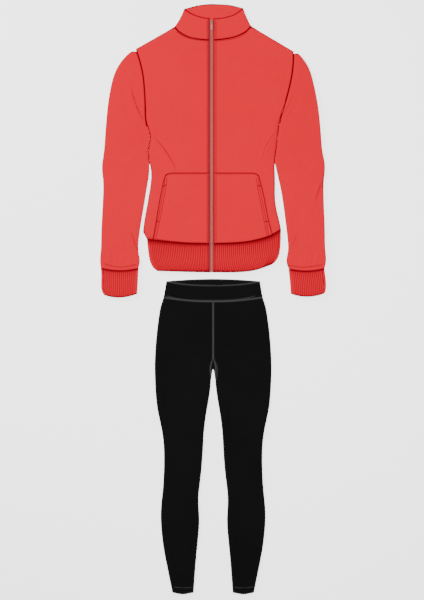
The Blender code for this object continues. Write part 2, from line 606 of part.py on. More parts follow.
def build_pocket(name, top, side, seam, front, sign, collection):
    """A patch laid on the front: the front's own height, moved out."""
    across = np.linspace(0, 1, 8)
    up = np.array([0, 0.18, 0.36, 0.54, 0.72, 0.86, 0.92, 0.96, 1])
    side_points = edge_points(side, up)
    hem = smooth_line(seam)
    hem = shifted(hem, -sign * SEAM_GAP / 2)
    reach = abs(side_points[0, 0] - hem[0, 0]) / abs(hem[-1, 0] - hem[0, 0])
    low = along(hem, across * reach)
    high = edge_points(top, across)
    low[0, 0] = high[0, 0]
    side_points[0], side_points[-1] = low[-1], high[-1]
    near = np.stack([np.full(len(up), high[0, 0]), low[0, 1] + (high[0, 1] - low[0, 1]) * up], axis=1)
    plan = patch(low, high, near, side_points, across, up)
    tree = BVHTree.FromObject(front, bpy.context.evaluated_depsgraph_get())
    height = np.zeros(plan.shape[:2])
    for place in np.ndindex(*height.shape):
        spot = plan[place] * MM
        found = tree.ray_cast((spot[0], spot[1], 0.1), (0, 0, -1))[0]
        if found is None:
            found = tree.find_nearest((spot[0], spot[1], 0.1))[0]
        height[place] = found.z / MM
    lower = np.dstack([plan, height + SEAM_GAP])
    upper = np.dstack([plan, height + SEAM_GAP + POCKET_CLOTH])
    return cloth(name, grid_faces(*height.shape), upper, lower, "jacket_cloth", collection)


LEG_COLUMNS = np.array([0, 0.01, 0.045, 0.17, 0.34, 0.50, 0.66, 0.83, 0.955, 0.99, 1.0])
LEG_BACK_COLUMNS = np.linspace(0, 1, 4)
GUSSET_LEVELS = [-236, -222, -211, -203, -195, -186, -176]
LEG_LEVELS = np.concatenate([np.linspace(-865, -260, 18), GUSSET_LEVELS, np.linspace(-150, -7, 6)])


def leg_plan(columns, sign):
    """Plan points of a leg panel, from its outer edge to its inner edge, ankle first."""
    inner = np.concatenate([smooth_line(LEG_SEAM), smooth_line(LEG_GUSSET)[1:],
                            smooth_line(LEG_INNER)[1:]])[::-1]
    seam = smooth_line(WAIST_SEAM)[::-1]
    outer = smooth_line(LEG_OUTER)[::-1]
    levels = LEG_LEVELS
    rows = (levels - levels[0]) / (levels[-1] - levels[0])
    near = np.column_stack([np.interp(levels, outer[:, 1], outer[:, 0]), levels])
    far = np.column_stack([np.interp(levels, inner[:, 1], inner[:, 0]), levels])
    low = edge_points(ANKLE, columns)
    high = along(seam, columns) - [0, 0.5]
    far[:, 0] -= SEAM_GAP / 2
    high[-1, 0] = far[-1, 0]
    near[:, 1] += (high[0, 1] + 7) * rows
    near[0], near[-1], far[0], far[-1] = low[0], high[0], low[-1], high[-1]
    plan = patch(low, high, near, far, columns, rows)
    plan[..., 0] *= sign
    return plan


def build_leg(side, sign, collection):
    plan = leg_plan(LEG_COLUMNS, sign)
    folds = [fold._replace(across=fold.across * sign, to_across=fold.to_across * sign)
             for fold in FOLDS_LEG]
    inner_fold = 1 - smooth_step((plan[:, -1, 1] + 240) / 18)
    outer_fold = np.ones(len(plan))
    base = LEGGING_CLOTH + SEAM_GAP
    outer, inner = top_panel(plan, base, LEGGING_INSIDE, LEGGING_CROWN, LEGGING_CLOTH, folds,
                             {"near": outer_fold, "far": inner_fold}, run=5.0)
    cloth("legging_front_" + side, grid_faces(*plan.shape[:2]), outer, inner, "legging_cloth", collection)
    plan = leg_plan(LEG_BACK_COLUMNS, sign)
    outer, inner = flat_panel(plan, 0.0, LEGGING_CLOTH)
    cloth("legging_back_" + side, grid_faces(*plan.shape[:2]), outer, inner, "legging_cloth", collection)


def build_waistband(collection):
    seam = moved(WAIST_SEAM, SEAM_GAP / 2)
    halves = []
    for sign in (1, -1):
        edges = [[Point(row.across * sign, row.up) for row in rows]
                 for rows in (seam, WAIST_FRONT, seam, WAIST_BACK, WAIST_SIDE)]
        halves.append((*edges, 0.0, WAIST_HALF))
    return band("waistband", halves, WAIST_CLOTH, LEGGING_INSIDE - 0.4, 0.4, (0, 0.5, 1), (8, 5), 0.0, True,
                "legging_cloth", collection)


def build_gusset(collection):
    """The lens at the crotch, arched at its lower edge where the legs part."""
    edge = smooth_line(LEG_GUSSET)[::-1]
    sampled = np.interp(GUSSET_LEVELS, edge[:, 1], edge[:, 0])
    levels = np.array(GUSSET_LEVELS[:-1] + [GUSSET_LEVELS[-1] - 4])
    up = (levels - levels[0]) / (levels[-1] - levels[0])
    far = np.column_stack([-np.interp(levels, GUSSET_LEVELS, sampled), levels])
    far[:, 0] -= SEAM_GAP / 2
    near = far * [-1, 1]
    across = np.linspace(0, 1, 7)
    low = near[0] + (far[0] - near[0]) * across[:, None]
    low[:, 1] += (GUSSET_ARCH - low[0, 1]) * np.sin(math.pi * across) ** 0.7
    high = near[-1] + (far[-1] - near[-1]) * across[:, None]
    plan = patch(low, high, near, far, across, up)
    outer, inner = top_panel(plan, LEGGING_CLOTH + SEAM_GAP, LEGGING_INSIDE, 0.3, LEGGING_CLOTH, [],
                             {"low": np.ones(len(across))}, run=3.0)
    return cloth("gusset", grid_faces(*plan.shape[:2]), outer, inner, "legging_cloth", collection)


def build_zip(collection):
    """Tapes, chain, bottom stop and slider, in the opening between the fronts."""
    tape_top = JACKET_CLOTH + SEAM_GAP + JACKET_INSIDE - SEAM_GAP
    tape_low = tape_top - TAPE_THICKNESS
    half_chain = CHAIN_WIDTH / 2
    chain_low = tape_low + (TAPE_THICKNESS - CHAIN_THICKNESS) / 2
    for side, sign in (("right", -1), ("left", 1)):
        ends = sorted([ZIP_X + sign * (half_chain + SEAM_GAP),
                       ZIP_X + sign * (ZIP_OPENING / 2 + TAPE_UNDER_FRONT)])
        box("zip_tape_" + side, (ends[0], ZIP_BOTTOM, tape_low), (ends[1], ZIP_TOP, tape_top),
            "zip_tape", collection)
    slider_low = SLIDER_TOP_Y - SLIDER[1]
    box("zip_stop", (ZIP_X - half_chain, ZIP_BOTTOM, chain_low),
        (ZIP_X + half_chain, ZIP_BOTTOM + STOP_LENGTH, chain_low + CHAIN_THICKNESS + 0.5),
        "zip_plastic", collection, bevel=0.5)
    box("zip_chain", (ZIP_X - half_chain, ZIP_BOTTOM + STOP_LENGTH + SEAM_GAP, chain_low),
        (ZIP_X + half_chain, ZIP_TOP, chain_low + CHAIN_THICKNESS), "zip_plastic", collection)
    build_slider(chain_low + CHAIN_THICKNESS + SEAM_GAP, slider_low, collection)


def build_slider(low, slider_low, collection):
    """Slider with its bridge, and the pull tab that hangs from the bridge."""
    width, length, thickness = SLIDER
    deck = low + thickness
    slider = box("zip_slider", (ZIP_X - width / 2, slider_low, low),
                 (ZIP_X + width / 2, SLIDER_TOP_Y, deck), "zip_plastic", collection, bevel=0.8)
    opening, clear = BRIDGE_OPENING
    axis_up = slider_low + length / 2
    bridge = box("bridge", (ZIP_X - BRIDGE_WIDTH / 2, axis_up - opening / 2 - BRIDGE_WALL, deck - 0.6),
                 (ZIP_X + BRIDGE_WIDTH / 2, axis_up + opening / 2 + BRIDGE_WALL,
                  deck + clear + BRIDGE_WALL), "zip_plastic", collection)
    hole = box("bridge_hole", (ZIP_X - BRIDGE_WIDTH, axis_up - opening / 2, deck),
               (ZIP_X + BRIDGE_WIDTH, axis_up + opening / 2, deck + clear), "zip_plastic", collection)
    joined(slider, bridge, "UNION")
    joined(slider, hole, "DIFFERENCE")
    build_tab(axis_up, deck + clear / 2, collection)


def joined(piece, other, operation):
    """Join or cut a piece with another one, which is then removed."""
    change = piece.modifiers.new(operation.title(), "BOOLEAN")
    change.operation = operation
    change.object = other
    evaluated = piece.evaluated_get(bpy.context.evaluated_depsgraph_get())
    result = bpy.data.meshes.new_from_object(evaluated)
    piece.modifiers.remove(change)
    piece.data = result
    bpy.data.objects.remove(other)


def build_tab(axis_up, axis_height, collection):
    """A flat tab with a window, whose bar turns in the slider's bridge."""
    window, reach = TAB_WINDOW
    half = window / 2 + TAB_ARM
    low = axis_height - TAB_BAR_RADIUS
    high = axis_height + TAB_BAR_RADIUS
    tab = box("zip_pull", (ZIP_X - half, axis_up - TAB_LENGTH, low),
              (ZIP_X + half, axis_up + TAB_BAR_RADIUS, high), "zip_plastic", collection, bevel=0.35)
    hole = box("tab_window", (ZIP_X - window / 2, axis_up - reach, low - 1),
               (ZIP_X + window / 2, axis_up - TAB_BAR_RADIUS, high + 1), "zip_plastic", collection)
    joined(tab, hole, "DIFFERENCE")


def build_all():
    collection = bpy.data.collections.new("tracksuit")
    bpy.context.scene.collection.children.link(collection)
    build_back(collection)
    right = front_plan(NECK_RIGHT, SHOULDER_RIGHT, SIDE_RIGHT, ARMHOLE_RIGHT, HEM_SEAM_RIGHT, 1)
    left = front_plan(NECK_LEFT, SHOULDER_LEFT, SIDE_LEFT, ARMHOLE_LEFT, HEM_SEAM_LEFT, -1)
    front_right = build_front("front_right", right, FOLDS_RIGHT_FRONT, collection)
    front_left = build_front("front_left", left, FOLDS_LEFT_FRONT, collection)
    build_sleeve("sleeve_right", SLEEVE_OUTER_RIGHT, SLEEVE_INNER_RIGHT, ARMHOLE_RIGHT,
                 FOLDS_RIGHT_SLEEVE, 1, collection)
    build_sleeve("sleeve_left", SLEEVE_OUTER_LEFT, SLEEVE_INNER_LEFT, ARMHOLE_LEFT,
                 FOLDS_LEFT_SLEEVE, -1, collection)
    build_cuff("cuff_right", CUFF_OUTER_RIGHT, CUFF_INNER_RIGHT, collection)
    build_cuff("cuff_left", CUFF_OUTER_LEFT, CUFF_INNER_LEFT, collection)
    build_hem(collection)
    build_collar(collection)
    bpy.context.view_layer.update()
    build_pocket("pocket_right", POCKET_TOP_RIGHT, POCKET_SIDE_RIGHT, HEM_SEAM_RIGHT, front_right, 1,
                 collection)
    build_pocket("pocket_left", POCKET_TOP_LEFT, POCKET_SIDE_LEFT, HEM_SEAM_LEFT, front_left, -1,
                 collection)
    build_zip(collection)
    for side, sign in (("right", 1), ("left", -1)):
        build_leg(side, sign, collection)
    build_waistband(collection)
    build_gusset(collection)


for old in list(bpy.data.objects):
    bpy.data.objects.remove(old)
build_all()
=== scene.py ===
# %% [markdown]
# A tracksuit, spread out flat: a red zip jacket with ribbed hem and cuffs, and black leggings
# under it. The construction solids are loaded first. They fix where every piece lies and how
# large it is. Each later step gives one piece, or one finish, the look of the real thing.

# %% Load the construction frame
import math
import random
from collections import namedtuple

import bmesh
import bpy
import numpy as np
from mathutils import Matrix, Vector, noise
from mathutils.bvhtree import BVHTree
from mathutils.kdtree import KDTree


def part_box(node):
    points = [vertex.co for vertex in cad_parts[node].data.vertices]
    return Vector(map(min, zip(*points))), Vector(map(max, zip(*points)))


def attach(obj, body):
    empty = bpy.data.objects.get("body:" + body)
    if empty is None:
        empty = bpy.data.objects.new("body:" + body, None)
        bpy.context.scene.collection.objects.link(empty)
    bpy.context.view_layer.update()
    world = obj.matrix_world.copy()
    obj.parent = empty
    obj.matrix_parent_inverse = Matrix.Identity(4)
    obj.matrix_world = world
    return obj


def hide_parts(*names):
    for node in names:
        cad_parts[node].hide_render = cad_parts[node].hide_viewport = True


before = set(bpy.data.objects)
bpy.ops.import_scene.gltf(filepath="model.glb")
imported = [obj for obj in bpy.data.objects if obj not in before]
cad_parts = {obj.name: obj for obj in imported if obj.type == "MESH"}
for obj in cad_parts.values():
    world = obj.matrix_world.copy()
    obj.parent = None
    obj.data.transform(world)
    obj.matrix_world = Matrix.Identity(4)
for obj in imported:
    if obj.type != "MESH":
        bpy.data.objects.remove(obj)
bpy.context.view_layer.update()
MM = 0.001
GARMENTS, TAB = "garments", "pull_tab"

# %% [markdown]
# The set is seen from straight above, the way flat garments are shown. A long lens keeps the
# edges of the view from spreading. The picture is 424 by 600, and one pixel is 2.95 mm of cloth.

# %% Camera
PHOTO_WIDTH, PHOTO_HEIGHT = 424, 600
MM_PER_PIXEL = 2.95
MIDDLE_COLUMN, MIDDLE_ROW = 213.15, 299.0
LENS_MM, SENSOR_MM = 120.0, 36.0

camera = bpy.data.objects.new("camera", bpy.data.cameras.new("camera"))
bpy.context.scene.collection.objects.link(camera)
camera.data.lens = LENS_MM
camera.data.sensor_width = SENSOR_MM
camera.location = (
    (PHOTO_WIDTH / 2 - MIDDLE_COLUMN) * MM_PER_PIXEL * MM,
    (MIDDLE_ROW - PHOTO_HEIGHT / 2) * MM_PER_PIXEL * MM,
    PHOTO_HEIGHT * MM_PER_PIXEL * MM * LENS_MM / SENSOR_MM)
bpy.context.scene.camera = camera
print("camera", round(camera.location.z, 2), "m above the floor")

# %% [markdown]
# A pale floor and soft light. The large lamp overhead leaves the turned edges of the cloth a
# little darker than its top, which draws the outline. The lower lamp from one side makes folds,
# seams and ribs show as light and shade.

# %% Floor and light
FLOOR_HALF = 4.0
FLOOR_DROP = 0.5 * MM
FLOOR_GREY = 0.95
SKY_STRENGTH = 0.3


def plain_material(name, colour, roughness, shine=0.5):
    material = bpy.data.materials.new(name)
    material.use_nodes = True
    shader = material.node_tree.nodes["Principled BSDF"]
    shader.inputs["Base Color"].default_value = (*colour, 1)
    shader.inputs["Roughness"].default_value = roughness
    shader.inputs["Specular IOR Level"].default_value = shine
    return material


def add_lamp(name, place, size, power):
    lamp = bpy.data.objects.new(name, bpy.data.lights.new(name, "AREA"))
    lamp.data.shape = "SQUARE"
    lamp.data.size = size
    lamp.data.energy = power
    lamp.location = place
    lamp.rotation_euler = (-Vector(place)).to_track_quat("-Z", "Y").to_euler()
    bpy.context.scene.collection.objects.link(lamp)


corners = [(x * FLOOR_HALF, y * FLOOR_HALF, -FLOOR_DROP) for x, y in ((-1, -1), (1, -1), (1, 1), (-1, 1))]
floor_mesh = bpy.data.meshes.new("floor")
floor_mesh.from_pydata(corners, [], [(0, 1, 2, 3)])
floor_mesh.materials.append(plain_material("pale_floor", (FLOOR_GREY,) * 3, roughness=0.9, shine=0.2))
floor = bpy.data.objects.new("floor", floor_mesh)
bpy.context.scene.collection.objects.link(floor)

world = bpy.data.worlds.new("studio")
bpy.context.scene.world = world
world.use_nodes = True
sky = world.node_tree.nodes["Background"]
sky.inputs["Color"].default_value = (1, 1, 1, 1)
sky.inputs["Strength"].default_value = SKY_STRENGTH
add_lamp("overhead", place=(0.2, 0.3, 5.0), size=1.4, power=760)
add_lamp("side", place=(-2.4, 1.8, 1.1), size=0.8, power=100)
print("floor", 2 * FLOOR_HALF, "m wide, two lamps")

# %% [markdown]
# Every panel starts as its own construction solid. Its loose triangles are merged and paired
# into quads, its cut edges are creased so that they stay crisp, and a subdivision surface then
# rounds the facets into soft cloth. This keeps each panel on the form that carries it.

# %% Quads from a solid
SHARP = math.radians(58)
CORNER_BEND = 0.87
MERGE_WITHIN = 0.02 * MM
PAIR_BEND, PAIR_SHAPE = math.radians(40), math.radians(120)


def quads_of(node):
    """The node's mesh, merged, in quads, with its cut edges creased."""
    bm = bmesh.new()
    bm.from_mesh(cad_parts[node].data)
    bmesh.ops.remove_doubles(bm, verts=bm.verts, dist=MERGE_WITHIN)
    bmesh.ops.join_triangles(bm, faces=bm.faces, angle_face_threshold=PAIR_BEND,
                             angle_shape_threshold=PAIR_SHAPE)
    crease = bm.edges.layers.float.new("crease_edge")
    corner = bm.verts.layers.float.new("crease_vert")
    for edge in bm.edges:
        if len(edge.link_faces) == 2 and edge.calc_face_angle() > SHARP:
            edge[crease] = 1.0
    for vert in bm.verts:
        ways = [(edge.other_vert(vert).co - vert.co).normalized()
                for edge in vert.link_edges if edge[crease] > 0.5]
        if len(ways) > 2 or (len(ways) == 2 and ways[0].dot(ways[1]) > -CORNER_BEND):
            vert[corner] = 1.0
    return bm


def link_object(name, mesh):
    linked = bpy.data.objects.new(name, mesh)
    bpy.context.scene.collection.objects.link(linked)
    return linked


def plain_mesh(source):
    """The evaluated mesh of an object, which is then removed."""
    bpy.context.view_layer.update()
    mesh = bpy.data.meshes.new_from_object(source.evaluated_get(bpy.context.evaluated_depsgraph_get()))
    bpy.data.objects.remove(source)
    return mesh


def subdivided(bm, name, levels):
    mesh = bpy.data.meshes.new(name)
    bm.to_mesh(mesh)
    bm.free()
    source = link_object(name + "_cage", mesh)
    rounding = source.modifiers.new("rounding", "SUBSURF")
    rounding.levels = rounding.render_levels = levels
    return plain_mesh(source)


print("cut edges bend more than", round(math.degrees(SHARP)), "degrees")

# %% [markdown]
# Real cloth lies in folds, and no two are alike. Each fold here is listed with its own length,
# bow, height and two widths: a steep side that throws the dark line, and a gentle side that runs
# out into the panel. The first of each list follow the folds that the picture shows.

# %% Folds
Fold = namedtuple("Fold", "across up to_across to_up bow steep gentle rise")

FOLDS = {
    "front_right": [Fold(-179, 481, -110, 380, 5, 2.4, 15, 2.4), Fold(-150, 560, -60, 520, 8, 12, 22, 0.8),
                    Fold(-196, 300, -150, 262, -4, 7, 16, 0.9), Fold(-120, 720, -70, 640, 6, 14, 26, 0.7),
                    Fold(-60, 250, -40, 175, -3, 9, 14, 0.7), Fold(-95, 430, -50, 330, 7, 16, 24, 0.6)],
    "front_left": [Fold(193, 503, 141, 412, -5, 15, 2.4, 2.4), Fold(160, 575, 70, 540, -7, 22, 12, 0.7),
                   Fold(186, 318, 150, 250, 5, 16, 8, 0.9), Fold(118, 715, 60, 655, -6, 24, 12, 0.8),
                   Fold(48, 470, 80, 350, 6, 20, 14, 0.6), Fold(70, 260, 88, 185, 4, 14, 9, 0.6)],
    "sleeve_right": [Fold(-243, 624, -202, 522, -7, 2.4, 13, 2.3),
                     Fold(-242, 196, -224, 146, -2, 2.2, 9, 1.9), Fold(-322, 420, -268, 388, 5, 6, 12, 1.2),
                     Fold(-316, 452, -285, 470, -3, 5, 10, 0.8), Fold(-226, 430, -262, 398, 4, 6, 13, 0.9),
                     Fold(-290, 300, -262, 214, 6, 9, 14, 0.8), Fold(-300, 640, -262, 540, 6, 11, 16, 0.7),
                     Fold(-312, 160, -300, 104, 2, 5, 9, 0.9), Fold(-262, 130, -258, 96, -1, 4, 6, 0.8)],
    "sleeve_left": [Fold(238, 624, 196, 524, 7, 13, 2.4, 2.3), Fold(323, 350, 301, 290, -3, 2.4, 11, 2.1),
                    Fold(247, 196, 229, 146, 2, 9, 2.2, 1.9), Fold(328, 398, 282, 372, -5, 12, 6, 1.1),
                    Fold(232, 420, 264, 384, -4, 12, 6, 0.8), Fold(296, 640, 262, 548, -6, 16, 11, 0.7),
                    Fold(286, 280, 266, 190, -5, 14, 9, 0.7), Fold(312, 150, 306, 100, -2, 8, 5, 0.9),
                    Fold(270, 122, 264, 94, 1, 6, 4, 0.7)],
    "collar": [Fold(-84, 826, -70, 792, 3, 6, 11, 0.5), Fold(78, 822, 62, 790, -3, 10, 7, 0.5)],
    "legging_front_right": [
        Fold(-8, -176, -70, -150, -5, 4, 9, 0.9), Fold(-10, -215, -62, -222, 4, 4, 8, 0.8),
        Fold(-150, -360, -96, -390, 4, 6, 12, 0.8), Fold(-60, -372, -100, -402, -4, 6, 11, 0.7),
        Fold(-120, -640, -80, -668, 4, 5, 9, 0.7), Fold(-110, -790, -76, -812, -3, 4, 8, 0.7),
        Fold(-140, -60, -60, -78, 6, 8, 14, 0.5)],
    "legging_front_left": [
        Fold(10, -182, 64, -158, 5, 9, 4, 0.9), Fold(12, -222, 60, -236, -4, 8, 4, 0.7),
        Fold(152, -372, 104, -398, -4, 12, 6, 0.8), Fold(66, -392, 98, -414, 3, 10, 6, 0.6),
        Fold(124, -618, 86, -650, -4, 9, 5, 0.7), Fold(118, -800, 84, -826, 3, 8, 4, 0.8),
        Fold(136, -72, 64, -64, -6, 14, 8, 0.5)],
    "jacket_back": [Fold(-180, 480, -90, 390, 6, 8, 14, 0.8), Fold(176, 500, 96, 398, -7, 14, 8, 0.8),
                    Fold(-60, 720, 40, 700, 9, 12, 18, 0.7), Fold(-40, 330, 24, 230, 8, 13, 20, 0.6),
                    Fold(120, 300, 90, 214, 5, 10, 14, 0.6), Fold(-150, 300, -120, 230, -5, 9, 13, 0.7)],
    "legging_back_right": [Fold(-60, -300, -132, -330, 5, 6, 10, 0.5),
                           Fold(-118, -560, -84, -590, 3, 5, 9, 0.5)],
    "legging_back_left": [Fold(62, -312, 130, -328, -4, 10, 6, 0.5),
                          Fold(120, -590, 88, -612, -3, 9, 5, 0.5)],
}


END_SHARE = 0.05
TAPER = 0.8


def fold_height(plan, folds):
    """What the folds add to the height at each place of the plan, in millimetres."""
    height = np.zeros(len(plan))
    for fold in folds:
        start = np.array([fold.across, fold.up], float)
        run = np.array([fold.to_across, fold.to_up], float) - start
        length = np.linalg.norm(run)
        way = run / length
        along = (plan - start) @ way
        place = np.clip(along / length, 0, 1)
        beside = (plan - start) @ np.array([-way[1], way[0]]) - fold.bow * 4 * place * (1 - place)
        taper = np.sin(math.pi * (END_SHARE + (1 - 2 * END_SHARE) * place)) ** TAPER
        width = np.where(beside > 0, fold.steep, fold.gentle)
        past_end = (along - place * length) / (fold.steep + fold.gentle)
        height += fold.rise * taper * np.exp(-(beside / width) ** 2 - past_end ** 2)
    return height


# The sharpest folds also get a painted shade line beside their steep side, through the seam mask.
LINE_STEEP, LINE_RISE = 3.0, 1.0
LINE_SHIFT, LINE_WIDTH = 1.8, 1.4


def fold_lines(plan, folds):
    """Where shade is painted along the steep side of the sharpest folds, from 0 to 1."""
    line = np.zeros(len(plan))
    for fold in folds:
        if min(fold.steep, fold.gentle) <= LINE_STEEP and fold.rise > LINE_RISE:
            side = 1 if fold.steep < fold.gentle else -1
            shifted = fold._replace(bow=fold.bow + side * LINE_SHIFT, steep=LINE_WIDTH,
                                    gentle=LINE_WIDTH, rise=1.0)
            line = np.maximum(line, fold_height(plan, [shifted]))
    return line


def gathers(seed, line, count, reach, rise, lean):
    """Short folds that rise from a seam where ribbing draws the cloth in."""
    draw = random.Random(seed)
    (x0, y0), (x1, y1) = line
    rows = []
    for number in range(count):
        place = (number + draw.uniform(0.2, 0.8)) / count
        x, y = x0 + (x1 - x0) * place, y0 + (y1 - y0) * place
        long = reach * draw.uniform(0.45, 1.0)
        rows.append(Fold(x, y, x + lean * long * draw.uniform(-1, 1), y + long, draw.uniform(-2, 2),
                         draw.uniform(2.5, 4.5), draw.uniform(3, 7), rise * draw.uniform(0.4, 1.0)))
    return rows


FOLDS["front_right"] += gathers(31, ((-196, 172), (-24, 164)), 13, 46, 0.8, 0.25)
FOLDS["front_left"] += gathers(32, ((20, 164), (190, 178)), 12, 46, 0.8, 0.25)
FOLDS["sleeve_right"] += gathers(33, ((-322, 96), (-230, 94)), 7, 40, 0.9, 0.2)
FOLDS["sleeve_left"] += gathers(34, ((222, 96), (320, 94)), 7, 40, 0.9, 0.2)
print("folds placed:", sum(len(rows) for rows in FOLDS.values()))

# %% [markdown]
# Stitching draws the garment. A row of topstitching pulls its line of cloth down a little, so
# the rows are laid out before the panels are formed, and the threads are sewn in afterwards.
# A row is a list of places in millimetres, across and up, in the frame that all pieces share.

# %% Rows of stitching
JACKET_ROWS = {
    "zip_right": [(-17.3, 822), (-17.3, 81)],
    "zip_left": [(8.4, 822), (8.4, 81)],
    "neck_right": [(-108, 787), (-92, 776), (-74, 768), (-56, 764.5), (-39, 762), (-19, 760)],
    "neck_left": [(10, 760), (31, 762), (49, 765), (67, 768), (85, 775), (101, 787)],
    "hem_right": [(-192, 181.5), (-176, 178.6), (-145, 172.8), (-101, 168), (-19, 165.4)],
    "hem_left": [(10, 165.4), (84, 168), (103, 170), (132, 177.5), (156, 183.4), (172, 189), (190, 199)],
    "cuff_right": [(-324, 105), (-300, 97), (-275, 93), (-250, 95.5), (-226, 102)],
    "cuff_left": [(216, 102), (240, 95.5), (262, 93), (292, 95.5), (320, 101)],
}
POCKET_ROWS = {
    "pocket_top_right": [(-21, 368.4), (-126, 368.4), (-135, 366), (-141.5, 359.4)],
    "pocket_top_left": [(12, 368.4), (121, 368.4), (129.5, 366), (134, 359.4)],
    "pocket_side_right": [(-142.2, 355), (-144, 333), (-158, 255), (-174.3, 181)],
    "pocket_side_left": [(133.4, 355), (135, 338), (150, 262), (164.5, 187)],
}
PAIR_GAP = 6.0


def inside(row, distance):
    """The same row, moved towards the zip."""
    side = math.copysign(distance, -row[-1][0])
    return [(x + side, y) for x, y in row]


for name in ("pocket_side_right", "pocket_side_left"):
    POCKET_ROWS[name + "_pair"] = inside(POCKET_ROWS[name], PAIR_GAP)
JACKET_ROWS.update(POCKET_ROWS)
LEGGING_ROWS = {
    "front_seam_right": [(-1.9, -12), (-1.9, -174)],
    "front_seam_left": [(1.9, -12), (1.9, -174)],
    "gusset_right": [(-1.8, -177), (-7.0, -190), (-10.0, -203), (-8.6, -221), (-5.0, -239)],
    "gusset_left": [(1.8, -177), (8.5, -190), (13.6, -203), (12.4, -221), (10.0, -239)],
    "ankle_right": [(-114, -849), (-90, -852), (-62, -850)],
    "ankle_left": [(64, -850), (92, -852), (117, -848.5)],
}
WAIST_ROW = {"waist": [(-134, 9), (-120, 4), (-86, -1.5), (-50, -4), (38, -4), (73, -1.2), (109, 4.5),
                       (122, 9)]}


def walked(row, step):
    """Places every step along a row, its corners rounded."""
    points = [Vector((x, y)) for x, y in row]
    for _ in range(2):
        cut = [points[0]]
        for first, second in zip(points, points[1:]):
            cut += [first.lerp(second, 0.25), first.lerp(second, 0.75)]
        points = cut + [points[-1]]
    places = []
    for first, second in zip(points, points[1:]):
        count = max(1, round((second - first).length / step))
        places += [first.lerp(second, number / count) for number in range(count)]
    return places + [points[-1]]


def search_tree(places):
    tree = KDTree(len(places))
    for number, place in enumerate(places):
        tree.insert(place, number)
    tree.balance()
    return tree


def plan_tree(rows, step=1.0):
    """A search tree of the places on all these rows."""
    return search_tree([place.to_3d() for row in rows.values() for place in walked(row, step)])


JACKET_TREE = plan_tree(JACKET_ROWS)
LEGGING_TREE = plan_tree({**LEGGING_ROWS, **WAIST_ROW})
print("rows of stitching:", len(JACKET_ROWS) + len(LEGGING_ROWS) + len(WAIST_ROW))

# %% [markdown]
# At a seam the cloth turns down into the join, so every panel's cut edge is rolled over here. A
# point attribute named seam grows towards the edge; the materials paint shade there on the red
# cloth, and a paler line on the black. Only the mesh near seams, rows and folds is made finer.

# %% Panel forming
RIM_ANGLE = math.radians(55)
RIM_REACH, ROW_REACH = 4.5, 2.4
REFINE_ROUNDS = 3
FINE_EDGE, FOLD_EDGE = 1.7, 3.6
FOLD_SHOWS, LINE_SHOWS = 0.08, 0.06
ROLL_DEPTH, ROLL_WIDTH = 0.9, 2.1
ROLL_FROM, ROLL_FULL = 0.8, 2.4
DENT_DEPTH, DENT_WIDTH = 0.4, 1.1
SEAM_WIDTH, CLOSE_WIDTH = 1.9, 0.8
SETTLED_WITHIN = 14
UNREST_SIZE = 60
ROW_SHADE, FOLD_SHADE = 0.45, 0.3
LOWER_LAYER = 1.5
FACING_UP = 0.3


def rim_tree(bm):
    """A search tree of the places on the panel's cut edges."""
    places = []
    for edge in bm.edges:
        if len(edge.link_faces) == 2 and edge.calc_face_angle() > RIM_ANGLE:
            first, second = (vert.co / MM for vert in edge.verts)
            count = max(1, round((second - first).length))
            places += [first.lerp(second, (number + 0.5) / count) for number in range(count)]
    return search_tree(places)


def bell(distance, width):
    """1 at no distance, falling softly to 0 past the width."""
    return np.exp(-(distance / width) ** 2)


def nearest(tree, points):
    return np.array([tree.find(point)[2] for point in points])


def flat_points(points):
    return np.column_stack([points[:, :2], np.zeros(len(points))])


def refine(bm, rim, rows, folds, top):
    """Halve long edges near the rim, the rows and the folds, on the upper side."""
    for _ in range(REFINE_ROUNDS):
        points = np.array([vert.co for vert in bm.verts]) / MM
        seen = np.flatnonzero([vert.normal.z > 0.1 for vert in bm.verts])
        fine = np.zeros(len(points), bool)
        soft = np.zeros(len(points), bool)
        fine[seen] = nearest(rim, points[seen]) < RIM_REACH
        if rows is not None:
            high = seen[points[seen, 2] > top]
            fine[high] |= nearest(rows, flat_points(points[high])) < ROW_REACH
        soft[seen] = np.abs(fold_height(points[seen, :2], folds)) > FOLD_SHOWS
        fine[seen] |= fold_lines(points[seen, :2], folds) > LINE_SHOWS
        bm.verts.index_update()
        split = []
        for edge in bm.edges:
            first, second = (vert.index for vert in edge.verts)
            length = edge.calc_length() / MM
            if (length > FINE_EDGE and (fine[first] or fine[second])) or (
                    length > FOLD_EDGE and soft[first] and soft[second]):
                split.append(edge)
        if not split:
            break
        bmesh.ops.subdivide_edges(bm, edges=split, cuts=1, use_grid_fill=True, use_single_edge=True)


def read_points(mesh):
    points = np.empty(len(mesh.vertices) * 3)
    normals = np.empty(len(mesh.vertices) * 3)
    mesh.vertices.foreach_get("co", points)
    mesh.vertex_normals.foreach_get("vector", normals)
    return points.reshape(-1, 3) / MM, normals.reshape(-1, 3)


def write_points(mesh, points):
    mesh.vertices.foreach_set("co", (points * MM).ravel())
    mesh.update()


def write_mask(mesh, name, values):
    mesh.attributes.new(name, "FLOAT", "POINT").data.foreach_set("value", np.clip(values, 0, 1))


def smooth_step(low, high, value):
    share = np.clip((value - low) / (high - low), 0, 1)
    return share * share * (3 - 2 * share)


def uneven(plan, size, seed):
    """Slow hills and hollows of about the given size, from -1 to 1."""
    return np.array([noise.noise(Vector((x / size, y / size, seed))) for x, y in plan])


# The zip's shade: where each front edge runs, and how dark it is there.
ZIP_EDGES = ((-10.8, 1.0), (1.0, 0.8))
ZIP_SHADE_WIDTH = 2.8
UPPER_LAYER = 4.5


def zip_shade(points):
    """Shade on the cloth that runs beside the zip, from 0 to 1."""
    shade = np.zeros(len(points))
    for edge, strength in ZIP_EDGES:
        shade = np.maximum(shade, strength * bell(points[:, 0] - edge, ZIP_SHADE_WIDTH))
    return shade * (points[:, 2] > UPPER_LAYER)


